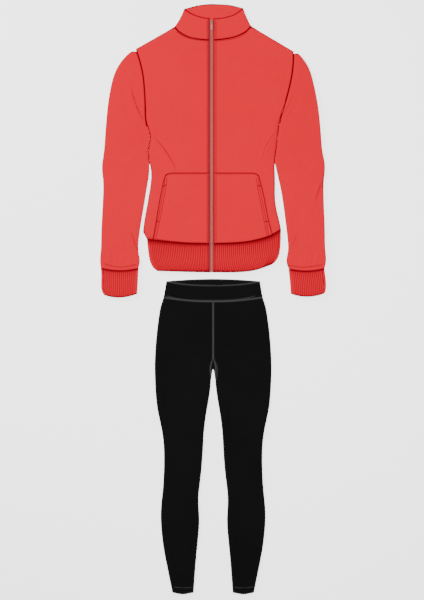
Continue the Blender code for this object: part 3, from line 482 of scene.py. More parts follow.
def form_panel(mesh, panel, rim, folds):
    """Raise the folds, roll the cut edges down, press the rows in, and mark the seams."""
    points, normals = read_points(mesh)
    faces_up = normals[:, 2] > FACING_UP
    layer_top = points[:, 2] + np.where(normals[:, 2] < 0, panel.cloth, 0)
    loose = smooth_step(panel.low, panel.high, layer_top)
    to_rim = nearest(rim, points)
    lift = fold_height(points[:, :2], folds) + panel.unrest * uneven(points[:, :2], UNREST_SIZE, panel.seed)
    points[:, 2] += loose * smooth_step(0, SETTLED_WITHIN, to_rim) * lift
    if panel.low < 0:
        points[:, 2] = np.maximum(points[:, 2], 0)
    above = points[:, 2] - panel.cloth
    roll = bell(to_rim, ROLL_WIDTH) * faces_up * smooth_step(ROLL_FROM, ROLL_FULL, above)
    points[:, 2] -= panel.roll * roll
    # The seam mask marks cut edges, the sharpest fold lines and the zip edges: the red material paints shade
    # there, the black a paler line.
    seam = np.maximum(bell(to_rim, SEAM_WIDTH), FOLD_SHADE * loose * fold_lines(points[:, :2], folds))
    if panel.rows is JACKET_TREE:
        seam = np.maximum(seam, zip_shade(points))
    points[:, :2] += normals[:, :2] * (panel.close * bell(to_rim, CLOSE_WIDTH))[:, None]
    if panel.rows is not None:
        on_row = bell(nearest(panel.rows, flat_points(points)), DENT_WIDTH)
        on_row *= faces_up & (points[:, 2] > panel.cloth + LOWER_LAYER)
        points[:, 2] -= DENT_DEPTH * on_row
        # Each row's dent gets painted shade too, or a paler line on the black cloth.
        seam = np.maximum(seam, ROW_SHADE * on_row)
    write_points(mesh, points)
    write_mask(mesh, "seam", seam)


def new_piece(name, mesh, material):
    mesh.materials.clear()
    mesh.materials.append(material)
    mesh.shade_smooth()
    mesh.set_sharp_from_angle(angle=math.radians(50))
    return link_object(name, mesh)


def print_size(piece):
    """Its faces, and half its surface, since a shell of cloth has two sides."""
    faces = piece.data.polygons
    print(piece.name, len(faces), "faces,", round(sum(face.area for face in faces) / 2, 4), "m2")


print("cut edges roll down", ROLL_DEPTH, "mm, rows press in", DENT_DEPTH, "mm")

# %% [markdown]
# Cloth needs a surface that is never quite even. One group makes the loops of a knit. Another
# makes the slow change of tone that dye and handling leave, and paints shade into the seams and
# rib grooves that the meshes mark, or a paler line along the seams of the black cloth. Both read
# Object coordinates, so the pattern keeps its real size.

# %% Shader groups


def new_group(name, inputs, outputs):
    group = bpy.data.node_groups.new(name, "ShaderNodeTree")
    for label, kind, value in inputs:
        group.interface.new_socket(label, in_out="INPUT", socket_type=kind).default_value = value
    for label, kind in outputs:
        group.interface.new_socket(label, in_out="OUTPUT", socket_type=kind)
    return group, group.nodes.new("NodeGroupInput"), group.nodes.new("NodeGroupOutput")


def math_node(group, operation, first, second=0.0, clamp=False):
    node = group.nodes.new("ShaderNodeMath")
    node.operation = operation
    node.use_clamp = clamp
    for socket, value in zip(node.inputs, (first, second)):
        if isinstance(value, (int, float)):
            socket.default_value = value
        else:
            group.links.new(value, socket)
    return node.outputs[0]


def noise_node(group, place, scale, detail):
    node = group.nodes.new("ShaderNodeTexNoise")
    group.links.new(place, node.inputs["Vector"])
    node.inputs["Scale"].default_value = scale
    node.inputs["Detail"].default_value = detail
    return node.outputs["Fac"]


def mask_node(group, name):
    node = group.nodes.new("ShaderNodeAttribute")
    node.attribute_name = name
    return node.outputs["Fac"]


def mix_node(group, share, first, second):
    node = group.nodes.new("ShaderNodeMix")
    node.data_type = "RGBA"
    for label, value in (("Factor", share), ("A", first), ("B", second)):
        group.links.new(value, next(s for s in node.inputs if s.name == label and s.enabled))
    return next(s for s in node.outputs if s.enabled)


def knit_group():
    """Loops of a knit: wales across, courses along, broken up by a fine noise."""
    group, given, result = new_group(
        "Knit loops", [("Wale mm", "NodeSocketFloat", 0.9), ("Course mm", "NodeSocketFloat", 0.7),
                       ("Depth", "NodeSocketFloat", 0.3), ("Fuzz", "NodeSocketFloat", 0.5)],
        [("Normal", "NodeSocketVector"), ("Height", "NodeSocketFloat")])
    place = group.nodes.new("ShaderNodeTexCoord").outputs["Object"]
    split = group.nodes.new("ShaderNodeSeparateXYZ")
    group.links.new(place, split.inputs[0])
    turns = []
    for axis, size in (("X", "Wale mm"), ("Y", "Course mm")):
        cycles = math_node(group, "DIVIDE", math_node(group, "MULTIPLY", split.outputs[axis], math.pi / MM),
                           given.outputs[size])
        turns.append(math_node(group, "ABSOLUTE", math_node(group, "SINE", cycles)))
    loops = math_node(group, "MULTIPLY", turns[0], math_node(group, "ADD", turns[1], 0.6))
    fuzz = math_node(group, "MULTIPLY", noise_node(group, place, 900, 2), given.outputs["Fuzz"])
    height = math_node(group, "ADD", loops, fuzz)
    bump = group.nodes.new("ShaderNodeBump")
    bump.inputs["Distance"].default_value = 0.2 * MM
    group.links.new(height, bump.inputs["Height"])
    group.links.new(given.outputs["Depth"], bump.inputs["Strength"])
    group.links.new(bump.outputs["Normal"], result.inputs["Normal"])
    group.links.new(height, result.inputs["Height"])
    return group


def shade_group():
    """Slow and fine changes of tone; painted shade where the mesh marks seams and grooves, paler on black.
    """
    group, given, result = new_group(
        "Cloth shade", [("Colour", "NodeSocketColor", (1, 0, 0, 1)),
                        ("Deep", "NodeSocketColor", (0.5, 0, 0, 1)),
                        ("Join", "NodeSocketColor", (0.02, 0, 0, 1)), ("Amount", "NodeSocketFloat", 0.2),
                        ("Valley", "NodeSocketFloat", 0.6)],
        [("Colour", "NodeSocketColor"), ("Roughness", "NodeSocketFloat")])
    place = group.nodes.new("ShaderNodeTexCoord").outputs["Object"]
    slow, fine = noise_node(group, place, 5, 3), noise_node(group, place, 240, 2)
    both = math_node(group, "ADD", slow, math_node(group, "MULTIPLY", fine, 0.6))
    mottled = mix_node(group, math_node(group, "MULTIPLY", both, given.outputs["Amount"], True),
                       given.outputs["Colour"], given.outputs["Deep"])
    # Painted shade: the masks of seams and rib grooves mix the colour towards Join.
    depth = math_node(group, "MULTIPLY", mask_node(group, "valley"), given.outputs["Valley"], True)
    low = mix_node(group, depth, mottled, given.outputs["Join"])
    joined = mix_node(group, mask_node(group, "seam"), low, given.outputs["Join"])
    group.links.new(joined, result.inputs["Colour"])
    rough = math_node(group, "ADD", math_node(group, "MULTIPLY", slow, 0.12), 0.74)
    group.links.new(rough, result.inputs["Roughness"])
    return group


KNIT = knit_group()
SHADE = shade_group()
print("groups:", KNIT.name, "and", SHADE.name)

# %% [markdown]
# The jacket is a dull brushed-back knit with hardly any shine. The leggings are a dense black
# stretch knit. Their colour is nearly nothing, so the form shows by the little light it returns.

# %% Cloth materials
Cloth = namedtuple("Cloth", "colour deep join amount valley wale course depth fuzz shine")
# The join colour is what the seam and rib masks paint: shade on the red cloth and ribs, a paler grey along
# the black seams.
CLOTHS = {
    "red_cloth": Cloth((0.345, 0.0, 0.0085), (0.29, 0.0, 0.006), (0.008, 0.0001, 0.0004),
                       0.35, 0.0, 1.1, 0.9, 0.35, 0.8, 0.04),
    "red_rib": Cloth((0.335, 0.0, 0.0085), (0.28, 0.0, 0.006), (0.035, 0.0002, 0.0012),
                     0.35, 0.65, 0.9, 1.3, 0.5, 0.8, 0.04),
    "zip_weave": Cloth((0.20, 0.032, 0.030), (0.15, 0.022, 0.021), (0.03, 0.002, 0.002),
                       0.4, 0.0, 0.55, 0.55, 0.5, 0.3, 0.2),
    "black_cloth": Cloth((0.0015, 0.0015, 0.0017), (0.0008, 0.0008, 0.0008), (0.022, 0.022, 0.023),
                         0.5, 0.0, 0.7, 0.6, 0.3, 0.4, 0.03),
}


def cloth_material(name, cloth):
    material = bpy.data.materials.new(name)
    material.use_nodes = True
    tree = material.node_tree
    shader = tree.nodes["Principled BSDF"]
    shader.inputs["Specular IOR Level"].default_value = cloth.shine
    shade = tree.nodes.new("ShaderNodeGroup")
    shade.node_tree = SHADE
    for label, value in (("Colour", cloth.colour), ("Deep", cloth.deep), ("Join", cloth.join)):
        shade.inputs[label].default_value = (*value, 1)
    shade.inputs["Amount"].default_value = cloth.amount
    shade.inputs["Valley"].default_value = cloth.valley
    knit = tree.nodes.new("ShaderNodeGroup")
    knit.node_tree = KNIT
    for label, value in (("Wale mm", cloth.wale), ("Course mm", cloth.course), ("Depth", cloth.depth),
                         ("Fuzz", cloth.fuzz)):
        knit.inputs[label].default_value = value
    tree.links.new(shade.outputs["Colour"], shader.inputs["Base Color"])
    tree.links.new(shade.outputs["Roughness"], shader.inputs["Roughness"])
    tree.links.new(knit.outputs["Normal"], shader.inputs["Normal"])
    return material


FINISH = {name: cloth_material(name, cloth) for name, cloth in CLOTHS.items()}
FINISH["red_thread"] = plain_material("red_thread", (0.045, 0.0006, 0.0015), 0.7, 0.2)
FINISH["grey_thread"] = plain_material("grey_thread", (0.035, 0.035, 0.037), 0.7, 0.2)
print("finishes:", ", ".join(FINISH))

# %% [markdown]
# The panels themselves. The upper cloth of each is loose and takes the folds. Where a panel
# lies on the floor or on another, its height there is kept.

# %% Jacket and leggings panels
Panel = namedtuple("Panel", "node finish slot levels low high cloth roll unrest seed rows close",
                   defaults=(0.3,))
JACKET, LEGGINGS = "jacket_cloth", "legging_cloth"
ON_FLOOR = (-2.0, -1.0)
PANELS = [
    Panel("jacket_back", "red_cloth", JACKET, 2, *ON_FLOOR, 2.0, 0.0, 0.0, 1, None),
    Panel("front_right", "red_cloth", JACKET, 2, 4.6, 6.8, 2.0, ROLL_DEPTH, 0.5, 2, JACKET_TREE),
    Panel("front_left", "red_cloth", JACKET, 2, 4.6, 6.8, 2.0, ROLL_DEPTH, 0.5, 3, JACKET_TREE),
    Panel("sleeve_right", "red_cloth", JACKET, 2, 4.6, 6.8, 2.0, ROLL_DEPTH, 0.5, 4, JACKET_TREE),
    Panel("sleeve_left", "red_cloth", JACKET, 2, 4.6, 6.8, 2.0, ROLL_DEPTH, 0.5, 5, JACKET_TREE),
    Panel("collar", "red_cloth", JACKET, 3, 4.6, 6.8, 2.6, ROLL_DEPTH, 0.2, 6, JACKET_TREE),
    Panel("pocket_right", "red_cloth", JACKET, 3, 4.6, 6.8, 1.4, 0.3, 0.5, 2, JACKET_TREE),
    Panel("pocket_left", "red_cloth", JACKET, 3, 4.6, 6.8, 1.4, 0.3, 0.5, 3, JACKET_TREE),
    Panel("legging_back_right", "black_cloth", LEGGINGS, 2, *ON_FLOOR, 1.3, 0.0, 0.0, 7, None),
    Panel("legging_back_left", "black_cloth", LEGGINGS, 2, *ON_FLOOR, 1.3, 0.0, 0.0, 8, None),
    Panel("legging_front_right", "black_cloth", LEGGINGS, 2, 2.4, 4.4, 1.3, 0.5, 0.3, 9, LEGGING_TREE, 0.6),
    Panel("legging_front_left", "black_cloth", LEGGINGS, 2, 2.4, 4.4, 1.3, 0.5, 0.3, 10, LEGGING_TREE, 0.6),
    Panel("waistband", "black_cloth", LEGGINGS, 2, 3.0, 4.6, 1.6, 0.5, 0.1, 11, LEGGING_TREE, 0.6),
    Panel("gusset", "black_cloth", LEGGINGS, 2, 3.0, 4.6, 1.3, 0.4, 0.0, 12, LEGGING_TREE, 0.6),
]
PIECES = {}


def keep_piece(piece, body, slot, *nodes):
    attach(piece, body)
    if nodes:
        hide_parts(*nodes)
    PIECES[piece.name] = piece


def add_panel(panel):
    mesh = subdivided(quads_of(panel.node), panel.node, panel.levels)
    bm = bmesh.new()
    bm.from_mesh(mesh)
    bm.normal_update()
    rim = rim_tree(bm)
    folds = FOLDS.get(panel.node, [])
    refine(bm, rim, panel.rows, folds, panel.cloth + LOWER_LAYER)
    bm.to_mesh(mesh)
    bm.free()
    form_panel(mesh, panel, rim, folds)
    piece = new_piece(panel.node + "_cloth", mesh, FINISH[panel.finish])
    keep_piece(piece, GARMENTS, panel.slot, panel.node)
    print_size(piece)


for panel in PANELS:
    add_panel(panel)

# %% [markdown]
# Two seams need a closer fit. The gusset is a small diamond whose point is sewn in where the
# front seam ends, so its top is drawn up to it. The back panel shows between the zip tapes, and
# there its ends are drawn up to the collar and down to the hem band, so that no floor shows.

# %% Gusset point and back panel ends
GUSSET_HIGH, GUSSET_TURN, GUSSET_POINT = -180.0, -206.0, -171.5
points, _ = read_points(PIECES["gusset_cloth"].data)
above = np.clip((points[:, 1] - GUSSET_TURN) / (GUSSET_HIGH - GUSSET_TURN), 0, None)
points[:, 1] += above ** 2 * (GUSSET_POINT - GUSSET_HIGH)
write_points(PIECES["gusset_cloth"].data, points)
print("gusset drawn up to", round(points[:, 1].max(), 1), "mm")

BACK_NECK, BACK_FOOT, BACK_EASE = 806.4, 164.6, 6.0
NECK_STRETCH, FOOT_STRETCH = 0.75, 0.85
ZIP_MIDDLE, ZIP_SIGHT = -4.9, 24.0
points, _ = read_points(PIECES["jacket_back_cloth"].data)
in_sight = np.exp(-((points[:, 0] - ZIP_MIDDLE) / ZIP_SIGHT) ** 2)
up = NECK_STRETCH * smooth_step(BACK_NECK - BACK_EASE, BACK_NECK, points[:, 1])
down = FOOT_STRETCH * (1 - smooth_step(BACK_FOOT, BACK_FOOT + BACK_EASE, points[:, 1]))
points[:, 1] += in_sight * (up - down)
write_points(PIECES["jacket_back_cloth"].data, points)
print("back panel runs from", round(points[:, 1].min(), 1), "to", round(points[:, 1].max(), 1), "mm")

# %% [markdown]
# Below each armpit the sleeve lies against the body, so close that only a dark line is left.
# The two edges are measured at each height and drawn together, a few millimetres of cloth deep.

# %% Sleeves against the body
CONTACT_LOW, CONTACT_HIGH, CONTACT_FADE = 402.0, 548.0, 12.0
CONTACT_GAP = 0.1
MOST_MOVED = (-2.0, 5.0)
PULL_DEPTH = 14.0
LEVEL_STEP = 2.0


def edge_at(names, side, levels):
    """The outermost place of these pieces towards a side, where each level crosses their edges."""
    edge = np.full(len(levels), -np.inf)
    for name in names:
        mesh = PIECES[name].data
        points, _ = read_points(mesh)
        ends = np.empty(len(mesh.edges) * 2, int)
        mesh.edges.foreach_get("vertices", ends)
        first, second = points[ends[0::2]], points[ends[1::2]]
        for number, level in enumerate(levels):
            cut = (first[:, 1] - level) * (second[:, 1] - level) < 0
            a, b = first[cut], second[cut]
            across = a[:, 0] + (level - a[:, 1]) / (b[:, 1] - a[:, 1]) * (b[:, 0] - a[:, 0])
            edge[number] = max(edge[number], (side * across).max())
    return side * edge


def lean_together(side, sleeve, body):
    """Draw sleeve and body edges together. side is the way from the sleeve to the body."""
    levels = np.arange(CONTACT_LOW - CONTACT_FADE, CONTACT_HIGH + CONTACT_FADE, LEVEL_STEP)
    sleeve_edge, body_edge = edge_at([sleeve], side, levels), edge_at(body, -side, levels)
    gap = side * (body_edge - sleeve_edge)
    wanted = np.clip(gap - CONTACT_GAP, *MOST_MOVED) / 2
    wanted *= smooth_step(CONTACT_LOW - CONTACT_FADE, CONTACT_LOW, levels)
    wanted *= 1 - smooth_step(CONTACT_HIGH, CONTACT_HIGH + CONTACT_FADE, levels)
    for name, edge, way in [(sleeve, sleeve_edge, side)] + [(name, body_edge, -side) for name in body]:
        points, _ = read_points(PIECES[name].data)
        inward = np.abs(points[:, 0] - np.interp(points[:, 1], levels, edge))
        pull = np.interp(points[:, 1], levels, wanted, left=0, right=0)
        points[:, 0] += way * pull * (1 - smooth_step(0, PULL_DEPTH, inward))
        write_points(PIECES[name].data, points)
    print(sleeve, "gap was", round(float(gap.min()), 2), "to", round(float(gap.max()), 2), "mm")


lean_together(1, "sleeve_right_cloth", ["front_right_cloth", "jacket_back_cloth"])
lean_together(-1, "sleeve_left_cloth", ["front_left_cloth", "jacket_back_cloth"])

# %% [markdown]
# Hem band and cuffs are knitted in ribs. The solids carry the ribs, but subdivision melts them,
# so each point is compared with the average of its neighbourhood: a ridge is pushed out, a
# groove pushed in, and a mask of the grooves is kept, into which the material paints shade.

# %% Ribbed bands
RIB_ROUNDS = 40
RIB_GAIN = 3.0
RIB_HALF_DEPTH = 0.6
RIDGE_LIMIT = 0.4
CROSSING_EDGE = 1.6
BAND_CLOSE = 0.35
BAND_MIDDLE = 3.8
BAND_LEVELS = 2
BAND_FACES_FLAT = 0.4
BAND_SEAM_SHADE, BAND_SEAM_SHADE_WIDTH = 0.9, 1.3
PLAIN_RIM, RIBBED_FROM = 0.5, 6.0
VALLEY_SHADE_FULL = 0.16


def neighbour_average(mesh, points, rounds):
    """Each point averaged again and again with those beside it, across the ribs only."""
    ends = np.empty(len(mesh.edges) * 2, int)
    mesh.edges.foreach_get("vertices", ends)
    first, second = ends[0::2], ends[1::2]
    near = np.linalg.norm(points[first] - points[second], axis=1) < CROSSING_EDGE
    first, second = first[near], second[near]
    count = len(points)
    shared = np.maximum(np.bincount(first, minlength=count) + np.bincount(second, minlength=count), 1)
    for _ in range(rounds):
        total = np.column_stack([
            np.bincount(first, points[second, axis], count) + np.bincount(second, points[first, axis], count)
            for axis in range(3)])
        points = 0.5 * points + 0.5 * np.where(total == 0, points, total / shared[:, None])
    return points


def add_band(node):
    mesh = subdivided(quads_of(node), node, BAND_LEVELS)
    bm = bmesh.new()
    bm.from_mesh(mesh)
    bm.normal_update()
    rim = rim_tree(bm)
    bm.free()
    points, normals = read_points(mesh)
    ridge = np.einsum("ij,ij->i", points - neighbour_average(mesh, points, RIB_ROUNDS), normals)
    to_rim = nearest(rim, points)
    ridge *= smooth_step(PLAIN_RIM, RIBBED_FROM, to_rim) * (np.abs(normals[:, 2]) > BAND_FACES_FLAT)
    ridge = np.clip(ridge, -RIDGE_LIMIT, RIDGE_LIMIT)
    outer = np.where(points[:, 2] > BAND_MIDDLE, normals[:, 2] > 0, normals[:, 2] < 0)
    push = np.clip(ridge * RIB_GAIN, -RIB_HALF_DEPTH, RIB_HALF_DEPTH) * outer
    points += normals * push[:, None]
    points[:, :2] += normals[:, :2] * (BAND_CLOSE * bell(to_rim, CLOSE_WIDTH))[:, None]
    points[:, 2] = np.maximum(points[:, 2], 0)
    write_points(mesh, points)
    # Masks where the rib material paints shade: the grooves between ribs, and the seams and zip edges.
    write_mask(mesh, "valley", smooth_step(0.0, VALLEY_SHADE_FULL, -ridge) * outer)
    write_mask(mesh, "seam", np.maximum(BAND_SEAM_SHADE * bell(to_rim, BAND_SEAM_SHADE_WIDTH), zip_shade(points)))
    piece = new_piece(node + "_cloth", mesh, FINISH["red_rib"])
    keep_piece(piece, GARMENTS, "jacket_rib", node)
    print_size(piece)


for node in ("hem_band", "cuff_right", "cuff_left"):
    add_band(node)

# %% [markdown]
# Threads are laid on the finished cloth. A Geometry Nodes tree walks each row, puts a stitch at
# every pitch, turns it along the row or across it, and varies its size a little.

# %% Stitch tree
LEAST_STITCH, MOST_STITCH = 0.8, 1.12
THREAD_SIDES, THREAD_RINGS = 6, 4


def new_tree(name, inputs):
    """Set a piece along a line. Gives the tree, its inputs, its pitch and the piece's sockets."""
    tree = bpy.data.node_groups.new(name, "GeometryNodeTree")
    for label, kind, value in [("Geometry", "Geometry", None), *inputs, ("Material", "Material", None)]:
        socket = tree.interface.new_socket(label, in_out="INPUT", socket_type="NodeSocket" + kind)
        if value is not None:
            socket.default_value = value
    tree.interface.new_socket("Geometry", in_out="OUTPUT", socket_type="NodeSocketGeometry")
    given = tree.nodes.new("NodeGroupInput").outputs
    result = tree.nodes.new("NodeGroupOutput").inputs
    curve = tree.nodes.new("GeometryNodeMeshToCurve")
    walk = tree.nodes.new("GeometryNodeResampleCurve")
    walk.mode = "LENGTH"
    place = tree.nodes.new("GeometryNodeInstanceOnPoints")
    real = tree.nodes.new("GeometryNodeRealizeInstances")
    finish = tree.nodes.new("GeometryNodeSetMaterial")
    join(tree, (given["Geometry"], curve.inputs[0]), (curve.outputs[0], walk.inputs[0]),
         (walk.outputs[0], place.inputs["Points"]), (place.outputs[0], real.inputs[0]),
         (real.outputs[0], finish.inputs[0]), (given["Material"], finish.inputs["Material"]),
         (finish.outputs[0], result["Geometry"]))
    return tree, given, walk.inputs["Length"], place.inputs


def join(tree, *pairs):
    """Link each pair of sockets, the source first."""
    for source, target in pairs:
        tree.links.new(source, target)


def product(tree, first, second):
    """A node that multiplies two sockets, or a socket and a number."""
    node = tree.nodes.new("ShaderNodeMath")
    node.operation = "MULTIPLY"
    tree.links.new(first, node.inputs[0])
    if isinstance(second, float):
        node.inputs[1].default_value = second
    else:
        tree.links.new(second, node.inputs[1])
    return node.outputs[0]


def stitch_tree():
    """Threads along a line, each an ellipsoid of a slightly different length."""
    tree, given, pitch, place = new_tree("Stitches", [
        ("Pitch", "Float", 3 * MM), ("Length", "Float", 2 * MM), ("Thread", "Float", 0.6 * MM),
        ("Turn", "Float", 0.0), ("Seed", "Int", 1)])
    stitch = tree.nodes.new("GeometryNodeMeshUVSphere")
    stitch.inputs["Segments"].default_value = THREAD_SIDES
    stitch.inputs["Rings"].default_value = THREAD_RINGS
    stitch.inputs["Radius"].default_value = 0.5
    tangent = tree.nodes.new("GeometryNodeInputTangent")
    aim = tree.nodes.new("FunctionNodeAlignRotationToVector")
    aim.axis = "X"
    turn = tree.nodes.new("FunctionNodeRotateRotation")
    turn.rotation_space = "LOCAL"
    spin = tree.nodes.new("ShaderNodeCombineXYZ")
    size = tree.nodes.new("ShaderNodeCombineXYZ")
    vary = tree.nodes.new("FunctionNodeRandomValue")
    vary.data_type = "FLOAT"
    low, high = [s for s in vary.inputs if s.name in ("Min", "Max") and s.type == "VALUE"]
    low.default_value, high.default_value = LEAST_STITCH, MOST_STITCH
    varied = next(s for s in vary.outputs if s.type == "VALUE")
    join(tree, (given["Pitch"], pitch), (given["Seed"], vary.inputs["Seed"]),
         (product(tree, given["Length"], varied), size.inputs["X"]),
         (given["Thread"], size.inputs["Y"]), (given["Thread"], size.inputs["Z"]),
         (given["Turn"], spin.inputs["Z"]), (tangent.outputs[0], aim.inputs["Vector"]),
         (aim.outputs[0], turn.inputs[0]), (spin.outputs[0], turn.inputs[1]),
         (stitch.outputs[0], place["Instance"]), (turn.outputs[0], place["Rotation"]),
         (size.outputs[0], place["Scale"]))
    return tree


def run_tree(source, tree, values):
    """Evaluate a node tree on an object and give the plain mesh."""
    modifier = source.modifiers.new("made", "NODES")
    modifier.node_group = tree
    for item in tree.interface.items_tree:
        if item.item_type == "SOCKET" and item.in_out == "INPUT" and item.name in values:
            modifier[item.identifier] = values[item.name]
    return plain_mesh(source)


def cast_tree(names):
    """One search tree over the surfaces of several pieces."""
    corners, faces = [], []
    for name in names:
        mesh = PIECES[name].data
        start = len(corners)
        corners += [vert.co.copy() for vert in mesh.vertices]
        faces += [[start + index for index in face.vertices] for face in mesh.polygons]
    return BVHTree.FromPolygons(corners, faces)


DROP_FROM = 0.1


def laid_on(cast, places, lift):
    """The places, in millimetres, dropped onto the cloth from above."""
    spots = []
    for place in places:
        hit = cast.ray_cast(Vector((place.x * MM, place.y * MM, DROP_FROM)), Vector((0, 0, -1)))[0]
        if hit is not None:
            spots.append(hit + Vector((0, 0, lift * MM)))
    return spots


STITCHES = stitch_tree()
print("tree inputs:", [item.name for item in STITCHES.interface.items_tree if item.in_out == "INPUT"])

# %% Sew the rows
Seam = namedtuple("Seam", "rows pitch length thread turn lift")
ROW_STEP = 2.0


def sew(name, seams, cast, finish, slot):
    """All the threads of one colour, as one piece."""
    made = bmesh.new()
    for number, seam in enumerate(seams):
        corners, edges = [], []
        for row in seam.rows:
            spots = laid_on(cast, walked(row, ROW_STEP), seam.lift)
            start = len(corners)
            corners += spots
            edges += [(start + k, start + k + 1) for k in range(len(spots) - 1)]
        mesh = bpy.data.meshes.new(name + "_rows")
        mesh.from_pydata(corners, edges, [])
        values = {"Pitch": seam.pitch * MM, "Length": seam.length * MM, "Thread": seam.thread * MM,
                  "Turn": math.radians(seam.turn), "Seed": number + 1, "Material": FINISH[finish]}
        made.from_mesh(run_tree(link_object(name + "_rows", mesh), STITCHES, values))
    mesh = bpy.data.meshes.new(name)
    made.to_mesh(mesh)
    made.free()
    piece = new_piece(name, mesh, FINISH[finish])
    keep_piece(piece, GARMENTS, slot)
    print(name, len(mesh.polygons), "faces")


JACKET_SKINS = [node + "_cloth" for node in (
    "front_right", "front_left", "sleeve_right", "sleeve_left", "collar", "pocket_right", "pocket_left",
    "hem_band", "cuff_right", "cuff_left")]
LEGGING_SKINS = [node + "_cloth" for node in (
    "legging_front_right", "legging_front_left", "waistband", "gusset")]
BARTACKS = [[(-146.5, 332), (-139, 336)], [(-168.5, 228.5), (-161, 228.5)],
            [(130.5, 334), (139.5, 334)], [(153, 228.5), (162, 228.5)]]
FRONT_SEAMS = [LEGGING_ROWS[name] for name in (
    "front_seam_right", "front_seam_left", "gusset_right", "gusset_left")]
ANKLE_HEMS = [LEGGING_ROWS["ankle_right"], LEGGING_ROWS["ankle_left"]]
sew("jacket_stitches", [
    Seam(list(JACKET_ROWS.values()), pitch=3.4, length=2.6, thread=0.75, turn=0, lift=0.1),
    Seam(BARTACKS, pitch=0.8, length=3.4, thread=0.8, turn=90, lift=0.25),
], cast_tree(JACKET_SKINS), "red_thread", JACKET)
sew("legging_stitches", [
    Seam(FRONT_SEAMS, pitch=2.0, length=1.7, thread=0.55, turn=0, lift=0.05),
    Seam(ANKLE_HEMS, pitch=2.8, length=2.2, thread=0.5, turn=0, lift=0.05),
    Seam(list(WAIST_ROW.values()), pitch=3.0, length=3.4, thread=0.6, turn=90, lift=0.05),
], cast_tree(LEGGING_SKINS), "grey_thread", LEGGINGS)

# %% [markdown]
# The zip. The tapes are woven, with a raised cord where the teeth are sewn on. The teeth are
# short blocks that reach in from both sides by turns, so they come from a second node tree.

# %% Zip tapes
TAPE_CORD = 0.45
TAPE_STEP = 6.0
# Each pair is a distance in from an edge of the tape, then one up or down from its face.
CORD_OVER =((3.2, 0), (2.6, TAPE_CORD), (1.8, TAPE_CORD), (1.2, 0), (0.3, -0.05), (0, -0.3))
FAR_ROUND = (0.4, 0.25)
NEAR_ROUND = (0.3, 0.2)


def tape_profile(low, high, toward):
    """The cross section of a tape, in millimetres, with its cord on the side of the teeth."""
    (x0, z0), (x1, z1) = (low[0] / MM, low[2] / MM), (high[0] / MM, high[2] / MM)
    edge, far = (x1, x0) if toward > 0 else (x0, x1)
    top = [(far, z1 - FAR_ROUND[1]), (far + toward * FAR_ROUND[0], z1)]
    top += [(edge - toward * across, z1 + up) for across, up in CORD_OVER]
    top += [(edge, z0 + NEAR_ROUND[1]), (edge - toward * NEAR_ROUND[0], z0),
            (far + toward * FAR_ROUND[0], z0), (far, z0 + FAR_ROUND[1])]
    return top if toward < 0 else top[::-1]


def lofted(name, rings):
    """A closed mesh through rings of places, in metres."""
    bm = bmesh.new()
    rings = [[bm.verts.new(place) for place in ring] for ring in rings]
    for first, second in zip(rings, rings[1:]):
        for k in range(len(first)):
            bm.faces.new((first[k - 1], first[k], second[k], second[k - 1]))
    bm.faces.new(rings[0])
    bm.faces.new(rings[-1][::-1])
    bmesh.ops.recalc_face_normals(bm, faces=bm.faces)
    mesh = bpy.data.meshes.new(name)
    bm.to_mesh(mesh)
    bm.free()
    return mesh


def add_tape(node, toward):
    low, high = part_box(node)
    profile = tape_profile(low, high, toward)
    count = round((high[1] - low[1]) / MM / TAPE_STEP)
    levels = [low[1] + (high[1] - low[1]) * row / count for row in range(count + 1)]
    mesh = lofted(node + "_cloth", [[(x * MM, y, z * MM) for x, z in profile] for y in levels])
    piece = new_piece(node + "_cloth", mesh, FINISH["zip_weave"])
    keep_piece(piece, GARMENTS, "zip_tape", node)
    print_size(piece)


add_tape("zip_tape_right", 1)
add_tape("zip_tape_left", -1)

# %% Zip teeth
CHAIN_SLOT = "zip_plastic"
TOOTH = [(-2.4, 0.55), (-0.3, 0.55), (0.35, 0.72), (0.75, 0.45), (0.75, -0.45), (0.35, -0.72),
         (-0.3, -0.55), (-2.4, -0.55)]
TOOTH_FOOT, TOOTH_TOP = 0.25, 0.35
FOOT_SHARE, TOP_SHARE, END_GROW = 0.86, 0.78, 0.97
TOOTH_PITCH = 2.6
CHAIN_END = 0.8


def tooth_mesh(high):
    """One tooth: its plan swept up to a height, with a slightly smaller top and foot."""
    layers = [(0.0, END_GROW, FOOT_SHARE), (TOOTH_FOOT, 1.0, 1.0), (high - TOOTH_TOP, 1.0, 1.0),
              (high, END_GROW, TOP_SHARE)]
    return lofted("tooth", [[(x * long * MM, y * wide * MM, z * MM) for x, y in TOOTH]
                            for z, long, wide in layers])


def teeth_tree():
    """Teeth along a line, every second one turned round to face the other way."""
    tree, given, pitch, place = new_tree("Zip teeth", [
        ("Tooth", "Object", None), ("Pitch", "Float", TOOTH_PITCH * MM)])
    index = tree.nodes.new("GeometryNodeInputIndex")
    odd = tree.nodes.new("ShaderNodeMath")
    odd.operation = "MODULO"
    odd.inputs[1].default_value = 2
    spin = tree.nodes.new("ShaderNodeCombineXYZ")
    tooth = tree.nodes.new("GeometryNodeObjectInfo")
    join(tree, (product(tree, given["Pitch"], 0.5), pitch), (index.outputs[0], odd.inputs[0]),
         (product(tree, odd.outputs[0], math.pi), spin.inputs["Z"]),
         (given["Tooth"], tooth.inputs["Object"]), (tooth.outputs["Geometry"], place["Instance"]),
         (spin.outputs[0], place["Rotation"]))
    return tree


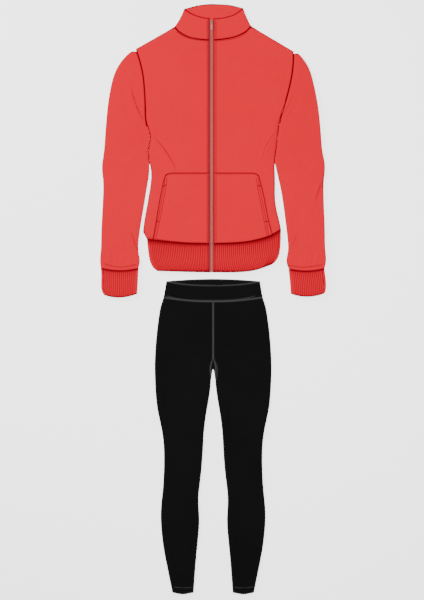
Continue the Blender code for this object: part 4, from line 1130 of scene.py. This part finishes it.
FINISH["red_plastic"] = plain_material("red_plastic", (0.17, 0.022, 0.021), roughness=0.5, shine=0.25)
chain_low, chain_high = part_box("zip_chain")
zip_x = (chain_low[0] + chain_high[0]) / 2
tooth = link_object("tooth", tooth_mesh((chain_high[2] - chain_low[2]) / MM))
line = bpy.data.meshes.new("chain_line")
line.from_pydata([(zip_x, chain_low[1] + CHAIN_END * MM, chain_low[2]),
                  (zip_x, chain_high[1] - CHAIN_END * MM, chain_low[2])], [(0, 1)], [])
teeth_mesh = run_tree(link_object("chain_line", line), teeth_tree(),
                      {"Tooth": tooth, "Pitch": TOOTH_PITCH * MM, "Material": FINISH["red_plastic"]})
bpy.data.objects.remove(tooth)
teeth = new_piece("zip_teeth", teeth_mesh, FINISH["red_plastic"])
keep_piece(teeth, GARMENTS, CHAIN_SLOT, "zip_chain")
print("zip_teeth", len(teeth_mesh.polygons), "faces")

# %% [markdown]
# Stop, slider and pull tab are moulded. Their solids have the right form, so each is copied, its
# triangles are merged into flat faces, and every edge is rounded as a mould leaves it.

# %% Moulded parts
SAME_PLACE = 0.005 * MM
SAME_FACE = math.radians(3)
MOULD_SEGMENTS = 3
MOULD_EDGE = math.radians(30)


def rounded(node, radius):
    """The solid with flat faces merged and every edge rounded."""
    bm = bmesh.new()
    bm.from_mesh(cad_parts[node].data)
    bmesh.ops.remove_doubles(bm, verts=bm.verts, dist=SAME_PLACE)
    bmesh.ops.dissolve_limit(bm, angle_limit=SAME_FACE, verts=bm.verts, edges=bm.edges)
    mesh = bpy.data.meshes.new(node + "_moulded")
    bm.to_mesh(mesh)
    bm.free()
    source = link_object(node + "_moulded_cage", mesh)
    bevel = source.modifiers.new("round", "BEVEL")
    bevel.width = radius * MM
    bevel.segments = MOULD_SEGMENTS
    bevel.limit_method = "ANGLE"
    bevel.angle_limit = MOULD_EDGE
    return new_piece(node + "_moulded", plain_mesh(source), FINISH["red_plastic"])


MOULDED = (("zip_stop", GARMENTS, 0.35), ("zip_slider", GARMENTS, 0.3), ("zip_pull", TAB, 0.3))
for node, body, radius in MOULDED:
    keep_piece(rounded(node, radius), body, CHAIN_SLOT, node)
print("moulded:", [name for name in PIECES if name.endswith("_moulded")])

# %% [markdown]
# The record of the size each piece of cloth is cut to. A tube counts all round. The area is that
# of the shaped cut, and the first two numbers are the rectangle that the cut comes out of, in
# metres.

# %% Cut sizes
Cut = namedtuple("Cut", "width length area rests_on")
